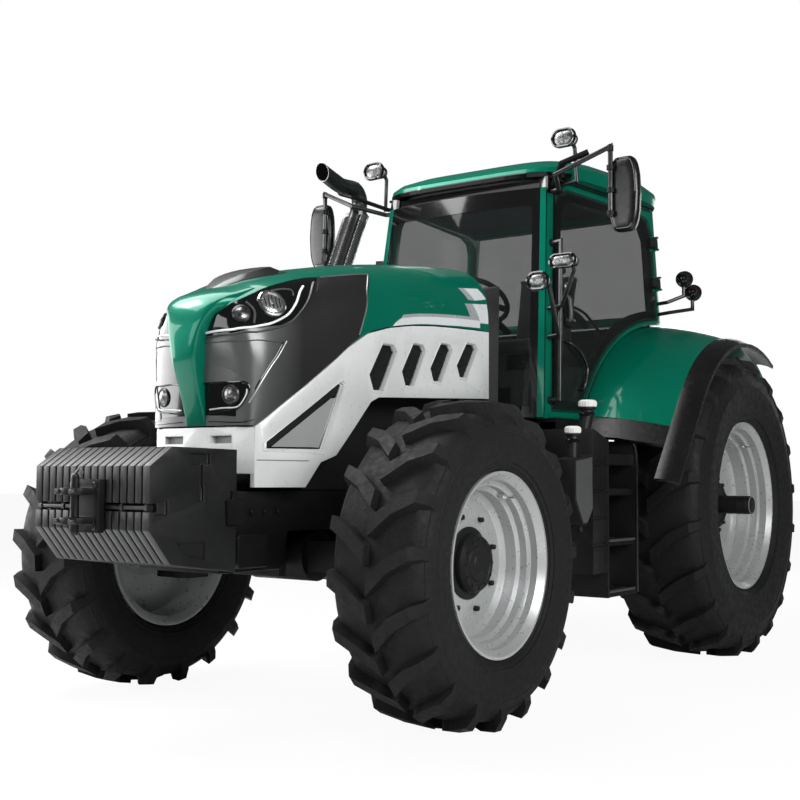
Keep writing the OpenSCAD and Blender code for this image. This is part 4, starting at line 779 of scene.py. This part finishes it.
def front_end_details():
    ballast_x = front_x + 756
    jaw = Vector((front_x + 1400, 0, 990))
    caps = [turned(jaw + Vector((-52, y, z)), AHEAD, [(11, 30), (11, 54), (8, 58)], 16)
            for y in (-44, 44) for z in (-60, 60)]
    build("jaw_cap_bolts", caps, DARK_STEEL)
    ring = smooth_path([jaw + Vector((-60, y, z)) for y, z in ((0, 130), (26, 152), (52, 132))])
    pin = [turned(jaw + Vector((-60, 0, -118)), UP, [(15, 0), (15, 246), (10, 252)], 20), pipe(ring, 5, 8)]
    build("jaw_pin", pin, DARK_STEEL)
    corners = [jaw + Vector((-108, y, z)) for y in (-70, 70) for z in (-88, 88)]
    build("jaw_plate_bolts", bolt_row(corners, AHEAD, 11, 12), DARK_STEEL)
    rod_at = jaw + Vector((-160, 0, -4))
    rod = [pipe([rod_at - OUT * 335, rod_at + OUT * 335], 13, 12)]
    rod += [turned(rod_at + OUT * y, OUT, [(20, -9), (20, 9)], 6) for y in (-325, -180, 180, 325)]
    build("ballast_rod", rod, DARK_STEEL)
    hook = [(-46, 905), (66, 905), (74, 1010), (40, 1018), (40, 1052), (8, 1052), (-2, 1004), (-46, 996)]
    build_pair("ballast_hook", [prism(moved(hook, ballast_x, 0), upright, 345, 368)], CASTING, bevel=3)
    pocket = moved([(190, 765), (305, 790), (345, 840), (190, 840)], ballast_x, 0)
    rim = ring_of(pocket, upright, moved([(5, -2), (4, 2.5), (-2, 2), (-3, -4)], 0, 352))
    build_pair("ballast_pocket_rim", [rim], BALLAST)
    box = moved([(520, 712), (705, 712), (722, 730), (722, 850), (705, 862), (520, 862)], front_x, 0)
    build_pair("frame_side_box", [prism(box, upright, 240, 330)], CASTING, bevel=10)
    row = [(front_x + x, 256, 955) for x in (380, 470, 560)]
    build_pair("frame_bolts", bolt_row(row, OUT, 13, 14), CASTING, slot="steel")
    steps = [(46, 0), (46, 40), (32, 60), (32, 900), (46, 920), (46, 960)]
    build("front_drive_shaft", [turned((front_x - 240, 0, 640), -AHEAD, steps, 20)], DARK_STEEL)
    slots = [block((front_x + 612, y - 61, 1262), (front_x + 620, y + 61, 1298)) for y in (-150, 150)]
    build("bumper_slot_backs", slots, LIGHT_GREY, bevel=2)


def work_lamp(name, at, r, w):
    """Bezel and lens of an oval lamp that faces forward: two half circles, 2 * w apart."""
    front = 35
    ring = []
    for a in angles(40):
        y = math.cos(a) * r + (w if math.cos(a) > 0 else -w)
        ring.append((y, math.sin(a) * r))

    def place(y, z, depth):
        return Vector(at) + Vector((front + depth, y, z))

    lip = [(2, -14), (7, -4), (7, 8), (-2, 12), (-12, 6), (-12, -4)]
    build(f"{name}_bezel", [ring_of(ring, place, lip)], GLOSS)
    dome = []
    for grow, depth in ((-10, 1), (-16, 4), (-28, 7), (-46, 9)):
        k = 1 + grow / (r + w)
        dome.append([place(y * k, z * k, depth) for y, z in ring])
    build(f"{name}_lens", [loft(dome)], BOWL)


def lamp_details():
    for side, sign in SIDES:
        work_lamp(f"roof_lamp_{side}", (screen_x - 190, 692 * sign, roof_z + 200), 52, 22)
    for k, (x, z, colour) in enumerate(((-15, 930, AMBER), (-165, 860, RED))):
        at = Vector((rear_x + x, 900, floor_z + z))
        ring = [turned(at, -AHEAD, [(53, 8), (56, 12), (56, 26), (52, 30)], 32)]
        build_pair(f"rear_lamp_ring_{k}", ring, GLOSS)
        lens = [turned(at, -AHEAD, [(50, 24), (46, 38), (34, 50), (18, 57), (0, 59)], 28)]
        build_pair(f"rear_lamp_lens_{k}", lens, colour)
        cap = [turned(at, AHEAD, [(40, 32), (34, 48), (16, 54), (0, 55)], 28)]
        build_pair(f"rear_lamp_cap_{k}", cap, GLOSS)
    work_lamp("rail_lamp", (screen_x + 270, 770, floor_z + 690), 48, 16)
    indicator = Vector((screen_x + 130, 850, floor_z + 815))
    work_lamp("indicator", indicator, 38, 40)
    amber = [turned(indicator + Vector((36, 26, 0)), AHEAD, [(26, 0), (24, 5), (0, 7)], 24)]
    build("indicator_amber", amber, AMBER)
    clear = [turned(indicator + Vector((36, -32, 0)), AHEAD, [(28, 0), (24, 5), (0, 7)], 24)]
    build("indicator_clear", clear, BOWL)


def exhaust_details():
    stack_y = -cab_front_half_w - 145
    foot = Vector((screen_x + 345, stack_y, floor_z + 380))
    top = Vector((screen_x - 130, stack_y + 10, floor_z + cab_h - 30))
    length = (top - foot).length
    z = (top - foot).normalized()
    x = OUT.cross(z).normalized()
    y = z.cross(x)

    def around(degrees):
        return x * math.cos(math.radians(degrees)) + y * math.sin(math.radians(degrees))

    holes = []
    for row in range(50):
        h = 160 + row * 16.4
        if h > length - 90:
            break
        for k in range(21):
            out = around(-108 + (k + 0.5 * (row % 2)) * 10.5)
            holes.append(turned(foot + z * h + out * 77.6, out, [(6, 0), (5.8, 0.9)], 6))
    build("shield_holes", holes, PLASTIC, slot="black_tube")
    strips = [pipe([foot + z * h + around(a) * 79 for h in (125, length / 2, length - 65)], 7, 8)
              for a in (-112, 112)]
    build("shield_strips", strips, CHROME)
    mouth = Vector((screen_x + 225, stack_y + 10, floor_z + cab_h + 110))
    last = Vector((150, 0, 40))
    way = last.normalized()
    lift = way.cross(OUT)
    bend = smooth_path([top - z * 40, top, top + Vector((5, 0, 60)), top + Vector((60, 0, 105)), mouth - last,
                        mouth])
    sides = 28
    verts, faces = pipe(bend, 50, sides)
    end = verts[-sides:]
    for v in end:
        v += way * (34 + 0.6 * (v - mouth).dot(lift))
    build("stack_elbow", [(verts, faces)], DARK_STEEL)
    lip = smooth_path(end, 2, cyclic=True)
    build("stack_lip", [pipe(lip, 3, 8, cyclic=True)], STEEL)
    # Black disc over the capped end of the pipe, inside its lip: soot, and painted shade standing in for the
    # hollow bore
    bore = [loft([[mouth + (v - mouth) * 0.94 + way * d for v in end] for d in (3, 5.5)])]
    build("stack_bore", bore, SOOT_AND_SHADE)
    build("stack_clamps", [turned(top, z, [(52, -34), (56, -30), (56, -6), (52, -2)], 36)], STEEL)


def mirror_details():
    corner = Vector((screen_x - 70, 1030, roof_z + 76))
    head = corner + Vector((-30 - 14 - 0.3, 62, -270))
    half_h, half_w = 214, 94

    def ring(depth, inset):
        """Barrel outline of the head at one depth, drawn in by an inset."""
        points = []
        for a in angles(48):
            z = (half_h - inset) * signed_power(math.sin(a), 0.36)
            wide = half_w - inset - 24 * (z / half_h) ** 2
            points.append(head + Vector((depth, wide * signed_power(math.cos(a), 0.36), z)))
        return points

    steps = ((-30, 6), (-27, 1), (2, 0), (14, 4), (23, 13), (28, 28), (30, 60))
    shell = loft([ring(*step) for step in steps])
    shells = [shell] + on_side([shell], -1)
    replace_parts(build("mirror_shells", shells, SATIN, angle=60), "mirror_heads")
    build_pair("mirror_glass", [loft([ring(-33, 12), ring(-29, 12)])], MIRROR)
    build_pair("mirror_rim", [pipe(ring(-30, 9), 4, 8, cyclic=True)], GLOSS)
    build_pair("mirror_shell_edge", [pipe(ring(24, 15), 3.5, 8, cyclic=True)], GLOSS)
    clamps = [turned(corner - UP * h, UP, [(15, -16), (22, -13), (22, 13), (15, 16)], 18)
              for h in (120, 250, 380)]
    build_pair("mirror_clamps", clamps, CASTING, slot="black_plastic")
    elbow = [turned(corner, UP, [(15, -30), (18, -24), (18, 6), (10, 14)], 16)]
    build_pair("mirror_elbow", elbow, CASTING, slot="black_plastic")


def tank_details():
    step_rear = rear_x + rear_wheel.z + 79
    tank_rear = step_rear + 390
    tank_front = tank_rear + 390
    mid_x = tank_front - 210
    tank_out, tank_foot, tank_top = 1030, 600, trans_top + 140
    step_z, step_rise = 460, 280
    fillers = ((mid_x - 60, tank_out - 60, tank_top + 160, 45),
               (mid_x + 120, tank_out - 58, tank_top + 10, 39))
    for k, (x, y, z, r) in enumerate(fillers):
        at = Vector((x, y, z))
        cap = [turned(at, UP, [(r, 14), (r + 3, 18), (r + 3, 44), (r - 4, 51), (r - 16, 53), (0, 54)], 40)]
        for a in angles(20):
            foot = at + Vector((math.cos(a) * (r + 3), math.sin(a) * (r + 3), 20))
            cap.append(pipe([foot, foot + UP * 22], 3, 6))
        build(f"filler_cap_{k}", cap, WHITE)
        neck = [turned(at + Vector((0, -4, -34)), UP, [(r - 4, 0), (r, 4), (r, 14), (r - 4, 18)], 28)]
        build(f"filler_ring_{k}", neck, GLOSS)
    face = [(mid_x + 10, tank_foot + 352), (mid_x + 72, tank_foot + 278), (mid_x + 116, tank_foot + 278),
            (tank_front - 10, tank_foot + 404), (tank_front - 10, tank_top - 124),
            (mid_x + 10, tank_top - 100)]
    build("small_tank_panel", [prism(face, upright, tank_out - 6, tank_out + 4)], GREY, bevel=4)
    drain = [(16, 0), (16, 30), (24, 34), (24, 44)]
    drain_at = (mid_x + 96, tank_out - 30, tank_foot + 232)
    build("small_tank_drain", [turned(drain_at, UP, drain, 16)], PLASTIC)
    ribs = []
    for k in range(1, 5):
        z = tank_foot + 145 * k + 16
        ribs.append(pipe([(tank_rear + 30, tank_out - 2, z), (mid_x - 12, tank_out - 2, z)], 4, 6))
    build("tank_rib_edges", ribs, SATIN)
    teeth, lips = [], []
    for i in range(3):
        z = step_z + i * step_rise
        teeth += [turned((step_rear + 44 + k * 38, tank_out - 226 + 10 * i + row * 80, z + 31), UP,
                         [(9, 0), (7, 5), (4, 6)], 8) for k in range(9) for row in range(3)]
        if i < 2:
            lips.append(pipe([(x, tank_out - 14, z + 30) for x in (step_rear + 18, tank_rear - 22)], 8, 8))
    build_pair("step_teeth", teeth, DARK_STEEL)
    build_pair("step_lips", lips, GREY, slot="steel")
    edge = [(step_rear + 10, tank_out, z) for z in (470, 900, 1230)] + [(step_rear + 40, tank_out - 6, 1318)]
    build_pair("step_edge_tube", [pipe(smooth_path(edge), 11, 10)], SATIN, slot="black_tube")


def cab_details():
    border = [screen_patch(-1, 1, cab_h - 175, cab_h - 72, 3, 24), screen_patch(-1, 1, -38, 26, 2, 24),
              screen_patch(0.86, 0.94, 20, cab_h - 170, 8, 3),
              screen_patch(-0.94, -0.9, 20, cab_h - 170, 8, 3)]
    build("screen_border", border, GLOSS)
    faces = [screen_patch(low, high, -38, cab_h - 72, 10, 3) for low, high in ((0.94, 1), (-1, -0.94))]
    build("pillar_faces", faces, GREEN)
    liner_front, liner_rear = screen_x - 130, corner_x - 190
    mid, half = (liner_front + liner_rear) / 2, (liner_front - liner_rear) / 2
    liner = [[(mid + half * 0.94 * signed_power(math.cos(a), 0.42),
               (700 - 70 * math.cos(a)) * 0.9 * signed_power(math.sin(a), 0.42), z) for a in angles(48)]
             for z in (roof_z - 12, roof_z - 0.5)]
    build("headliner", [loft(liner)], INTERIOR)
    blade = [screen_at(-0.36, 330, 8), screen_at(-0.46, 660, 8), screen_at(-0.5, 900, 8)]
    wiper = [pipe([screen_at(0.15, 8, 22), screen_at(-0.2, 330, 20), screen_at(-0.42, 640, 14)], 7, 8),
             pipe(blade, 6, 8, flat=0.6),
             turned(screen_at(0.15, 8, 2), (1, 0, 0.1), [(26, 0), (24, 16), (14, 26)], 18)]
    build("front_wiper", wiper, PLASTIC)
    door_details()
    gutter = [side_at(s, 6, cab_h - 8) for s in (side_len - pillar_lean * cab_h - 6, side_len / 2, -40)]
    build_pair("roof_gutter", [pipe(gutter, 9, 8)], GLOSS)
    seal = smooth_path([side_at(pillar_s(h) - 26, -4, h) for h in (0, 350, 700, 1050, 1300)])
    build_pair("pillar_seal", [pipe(seal, 7, 8)], GLOSS)
    feet = [turned(side_at(pillar_s(h) - 4, -5, h), side_out, [(24, 0), (24, 6), (16, 10)], 20)
            for h in (60, 1000)]
    build_pair("rail_feet", feet, CASTING, slot="black_tube")
    arm = [side_at(pillar_s(cab_h - 90), 20, cab_h - 60), (screen_x - 10, 760, roof_z + 10),
           (screen_x - 60, 900, roof_z + 62)]
    build_pair("mirror_bracket", [pipe(arm, 24, 10, flat=0.5)], CASTING, slot="black_tube")


def door_details():
    handle = (side_len - 270, 600)

    def on_door(s, h, depth):
        return side_at(s, glass_out + depth, h)

    def tube(name, points, radius, n, material):
        """Bent tube through points (s, h, depth) of the door."""
        build(name, [pipe(smooth_path([on_door(*p) for p in points]), radius, n)], material, "door")

    plate = [(-34, -92), (34, -92), (44, -70), (44, 80), (26, 100), (-26, 100), (-44, 80), (-44, -70)]
    build("door_handle_plate", [prism(moved(plate, *handle), on_door, -0.5, 14)], PLASTIC, "door", bevel=4)
    grip = moved([(26, 72), (30, 66), (30, -50), (26, -58)], *handle)
    tube("door_handle_grip", [(s, h, d) for (s, h), d in zip(grip, (12, 40, 40, 12))], 12, 12, GREY)
    lock = [(24, 0), (24, 8), (18, 12), (8, 12), (6, 15)]
    lock_at = on_door(handle[0] - 6, handle[1] + 150, -1)
    build("door_lock", [turned(lock_at, side_out, lock, 24)], STEEL, "door")
    pull = ((225, 410, -6), (240, 398, 34), (330, 345, 40), (385, 265, 40), (350, 150, 34), (340, 138, -6))
    tube("door_pull", [(side_len - back, h, d) for back, h, d in pull], 11, 12, SATIN)
    stay = ((330, 660, -46), (540, 630, -50), (690, 530, -46))
    tube("door_stay", [(side_len - back, h, d - glass_out) for back, h, d in stay], 9, 10, PLASTIC)


def interior():
    deck_z = floor_z + 300
    seat_x = rear_x + 470
    binnacle = [block((screen_x - 230, -150, floor_z + 560), (screen_x - 120, 150, floor_z + 610))]
    build("dash_binnacle", binnacle, INTERIOR, bevel=20)
    dial = [(36, -4), (36, 3), (30, 5), (28, 2), (0, 2)]
    dials = [turned((screen_x - 196, y, floor_z + 612), (-0.5, 0, 1), dial, 28) for y in (-60, 60)]
    build("dash_dials", dials, GLOSS)
    console = moved([(300, 10), (900, 10), (930, 260), (820, 320), (300, 280)], rear_x, deck_z)
    build("side_console", [prism(console, upright, -600, -390)], INTERIOR, bevel=18)
    levers = []
    for k in range(3):
        foot = Vector((rear_x + 820 - 70 * k, -480, deck_z + 300))
        levers.append(pipe(smooth_path([foot, foot + Vector((15, 0, 80))]), 8, 8))
        knob = [(8, 0), (18, 12), (18, 30), (10, 40)]
        levers.append(turned(foot + Vector((15, 0, 78)), (0.2, 0, 1), knob, 16))
    build("console_levers", levers, GLOSS)
    display_x = rear_x + 960
    display = [block((display_x - 14, -520, deck_z + 330), (display_x + 14, -300, deck_z + 490)),
               pipe([(display_x, -460, deck_z + 260), (display_x, -440, deck_z + 340)], 12, 8)]
    build("display", display, GLOSS, bevel=6)
    pedals = []
    for y in (-230, -130, 190):
        pedals += [block((screen_x - 330, y - 40, floor_z + 60), (screen_x - 316, y + 40, floor_z + 170)),
                   pipe([(screen_x - 320, y, floor_z + 110), (screen_x - 210, y, floor_z + 190)], 10, 8)]
    build("pedals", pedals, PLASTIC, bevel=4)
    folds = [(150, 0), (160, 12), (140, 26), (156, 44), (136, 62), (152, 84), (140, 104), (150, 126)]
    build("seat_bellows", [turned((seat_x, 0, deck_z + 2), UP, folds, 28)], PLASTIC)
    arm = moved([(-250, 330), (-60, 400), (180, 404)], seat_x, deck_z)
    arms = [pipe(smooth_path([(x, y, z) for x, z in arm]), 30, 12, flat=0.7) for y in (-305, 305)]
    build("seat_armrests", arms, INTERIOR)
    seat = (seat_x, deck_z)
    cushion = soft_block("seat_cushion", [(-236, 140), (262, 140), (276, 205), (-150, 208)], seat, 236)
    back = soft_block("seat_back", [(-232, 224), (-170, 212), (-262, 700), (-336, 694)], seat, 226)
    rest = soft_block("seat_headrest", [(-268, 716), (-276, 772), (-344, 760), (-336, 712)], seat, 130)
    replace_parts(cushion, "seat")


def soft_block(name, outline, seat, half_w):
    """Foam pad: a closed block that cloth pressure crowns between its corners."""
    swell = 14
    pad = build(name, [prism(moved(outline, *seat), upright, swell - half_w, half_w - swell)], CLOTH)
    pad.modifiers.clear()
    remesh = pad.modifiers.new("even_mesh", "REMESH")
    remesh.mode = "VOXEL"
    remesh.voxel_size = 11 * MM
    apply_modifiers(pad)
    rest = [v.co.copy() for v in pad.data.vertices]
    cloth = pad.modifiers.new("pressure", "CLOTH")
    cloth.settings.use_pressure = True
    cloth.settings.uniform_pressure_force = 4.0
    cloth.settings.effector_weights.gravity = 0.0
    for step in range(1, 16):
        bpy.context.scene.frame_set(step)
    apply_modifiers(pad)
    for vertex, start in zip(pad.data.vertices, rest):
        move = vertex.co - start
        if move.length > swell * MM:
            vertex.co = start + move.normalized() * swell * MM
    bpy.context.scene.frame_set(1)
    for face in pad.data.polygons:
        face.use_smooth = True
    soften = pad.modifiers.new("soft", "SMOOTH")
    soften.iterations = 6
    return pad


def apply_modifiers(obj):
    shape = bpy.data.meshes.new_from_object(obj.evaluated_get(bpy.context.evaluated_depsgraph_get()))
    obj.modifiers.clear()
    obj.data = shape


def rear_wall():
    """Ribbed lining between the cab's rear wall and the cross member under the rear window."""
    low, high = floor_z + 540, floor_z + 625
    parts = [block((corner_x - 58, -690, low), (corner_x - 26, 690, high))]
    parts += [block((corner_x - 64, y - 14, low + 22), (corner_x - 20, y + 14, high - 6))
              for y in range(-560, 561, 140)]
    build("rear_wall_lining", parts, PLASTIC, bevel=3)


def under_cab():
    """Ribbed housing between the transmission and the cab floor, and the mounts under the sills."""
    low, high = (rear_x + 520, -300, 1186), (screen_x - 40, 300, floor_z - 46)
    parts = [block(low, high)]
    for k in range(5):
        x = low[0] + 80 + 170 * k
        parts.append(block((x, -312, low[2] + 20), (x + 26, 312, high[2] - 30)))
    build("under_cab_housing", parts, CASTING, bevel=10)
    mounts = [block((screen_x - 560, 600, 1318), (screen_x - 20, 708, floor_z - 40))]
    mounts += [block((screen_x - 540 + 160 * k, 590, 1326), (screen_x - 500 + 160 * k, 716, floor_z - 60))
               for k in range(4)]
    build_pair("cab_mount", mounts, CASTING, bevel=6)


def rear_details():
    face_x = rear_x - 290
    stub = Vector((face_x, 0, 760))
    top = moved([(-170, 862), (0, 880), (0, 890), (-176, 872)], face_x, 0)
    cheek = moved([(-170, 862), (0, 700), (0, 890)], face_x, 0)
    guard = [prism(top, upright, -130, 130)] + [prism(cheek, upright, y, y + 8) for y in (-130, 122)]
    build("stub_guard", guard, CASTING, bevel=2)
    groove = [(17.6, 10), (18.4, 12), (18.4, 18), (17.6, 20)]
    grooves = [turned(stub - AHEAD * 20, -AHEAD, moved(groove, 0, 12 * k), 20) for k in range(6)]
    build("stub_splines", grooves, STEEL)
    coupler = [(24, 0), (24, 34), (18, 38), (18, 56), (12, 56), (12, 40)]
    couplers = [turned((face_x - 2, -150 + k * 62, 1120 + row * 74), -AHEAD, coupler, 18)
                for row in range(2) for k in range(4)]
    build("rear_couplers", couplers, STEEL)
    build("coupler_block", [block((face_x - 6, -200, 1080), (face_x + 4, 110, 1240))], CASTING, bevel=4)
    cover = bolts(stub, -AHEAD, 150, 10, 11, 12)
    cover.append(turned(stub, -AHEAD, [(190, 0), (190, 8), (176, 14), (60, 14), (50, 6)], 40))
    build("rear_cover", cover, CASTING)
    lamp_x, lamp_z = rear_x - 712, rear_wheel.z + 788

    def housing(y, arch_r):
        """Section of the tail lamp box, which hangs under the fender's rear end."""
        section = [(lamp_x, lamp_z), (lamp_x + 56, lamp_z + 8)]
        for x in (lamp_x + 56, lamp_x + 16):
            section.append((x, rear_wheel.z + math.sqrt(arch_r ** 2 - (x - rear_x) ** 2) + 6))
        return [(x, y, z) for x, z in section]

    build_pair("tail_lamp_box", [loft([housing(740, 1143), housing(960, 1110)])], PLASTIC, bevel=5)
    lenses = [block((lamp_x - 8, y, lamp_z + 10), (lamp_x + 2, y + 62, lamp_z + 74)) for y in (750, 818, 886)]
    build_pair("tail_lamp_red", lenses[:2], RED, bevel=4)
    build_pair("tail_lamp_amber", lenses[2:], AMBER, bevel=4)
    flange = bolts((rear_x, 262, rear_wheel.z), OUT, 205, 14, 12, 50)
    build_pair("axle_flange_bolts", flange, DARK_STEEL)


finish_nodes()
wheel_details()
nose_strip()
headlamp_details()
hood_trim()
side_panel_details()
front_end_details()
lamp_details()
exhaust_details()
mirror_details()
tank_details()
cab_details()
interior()
rear_wall()
under_cab()
rear_details()


# Stage, in metres: pale floor, white surround, soft boxes and the camera of the photograph
def camera_only(tree, seen, lit, surface_in):
    """Shows one shader to the camera and lights the object with another."""
    path = add_node(tree, "LightPath", {})
    mix = add_node(tree, "MixShader", {0: path.outputs["Is Camera Ray"], 1: lit, 2: seen})
    feed(tree, surface_in, mix.outputs[0])


def stage():
    world = bpy.data.worlds.new("studio")
    bpy.context.scene.world = world
    world.use_nodes = True
    tree = world.node_tree
    tree.nodes.clear()
    out = add_node(tree, "OutputWorld", {})
    seen = add_node(tree, "Background", {"Color": (1, 1, 1)})
    lit = add_node(tree, "Background", {"Color": (0.95, 0.97, 1), "Strength": 0.08})
    camera_only(tree, seen.outputs[0], lit.outputs[0], out.inputs["Surface"])

    mesh = bpy.data.meshes.new("floor")
    reach = 60
    mesh.from_pydata([(-reach, -reach, 0), (reach, -reach, 0), (reach, reach, 0), (-reach, reach, 0)], [],
                     [(0, 1, 2, 3)])
    floor = bpy.data.objects.new("floor", mesh)
    bpy.context.scene.collection.objects.link(floor)
    look = Finish("pale_floor")
    grain = look.node("TexNoise", "Fac", {"Scale": 3.0})
    look.set(Base_Color=look.mix(grain, (0.78, 0.78, 0.78), (0.8, 0.8, 0.8)), Roughness=0.8)
    matte = look.shader.outputs[0]
    glow = look.node("Emission", 0, {"Color": (1, 1, 1)})
    pale = look.node("MixShader", 0, {0: 0.94, 1: matte, 2: glow})
    camera_only(look.tree, pale, matte, look.tree.nodes["Material Output"].inputs["Surface"])
    floor.data.materials.append(look.material)


def soft_box(name, at, target, size, power):
    light = bpy.data.lights.new(name, "AREA")
    light.shape = "RECTANGLE"
    light.size, light.size_y = size
    light.energy = power
    obj = bpy.data.objects.new(name, light)
    obj.location = at
    obj.rotation_euler = (Vector(target) - Vector(at)).to_track_quat("-Z", "Y").to_euler()
    bpy.context.scene.collection.objects.link(obj)


def camera():
    yaw, pitch, roll = math.radians(-144.6793), math.radians(3.6922), math.radians(0.2928)
    ahead = Vector((math.cos(pitch) * math.cos(yaw), math.cos(pitch) * math.sin(yaw), math.sin(pitch)))
    right = ahead.cross(UP).normalized()
    up = right.cross(ahead)
    right, up = right * math.cos(roll) + up * math.sin(roll), up * math.cos(roll) - right * math.sin(roll)
    lens = bpy.data.cameras.new("photo_view")
    lens.sensor_width = 36
    lens.lens = 54.34
    lens.clip_end = 500
    obj = bpy.data.objects.new("photo_view", lens)
    turn = Matrix((right, up, -ahead)).transposed().to_4x4()
    obj.matrix_world = Matrix.Translation((5.9615, 3.9443, 1.1114)) @ turn
    bpy.context.scene.collection.objects.link(obj)
    bpy.context.scene.camera = obj


stage()
soft_box("overhead", (2.2, -2.6, 7.0), (1.2, -0.4, 1), (5, 6), 560)
soft_box("left_side", (3.4, 7.5, 4.2), (0, 0, 1.4), (6, 3), 600)
soft_box("front", (8.5, -2.6, 3.6), (1.5, 0, 1.4), (4, 3), 130)
soft_box("nose_gleam", (3.2, -4.2, 6.2), (1.95, 0, 2.05), (1.8, 1.2), 150)
soft_box("rear", (-9, 0, 3.2), (-1, 0, 1.2), (5, 3), 140)
soft_box("right_side", (3.6, -7.0, 2.8), (1.4, 0, 1.5), (7, 4), 560)
camera()
bpy.context.scene.view_settings.view_transform = "Standard"
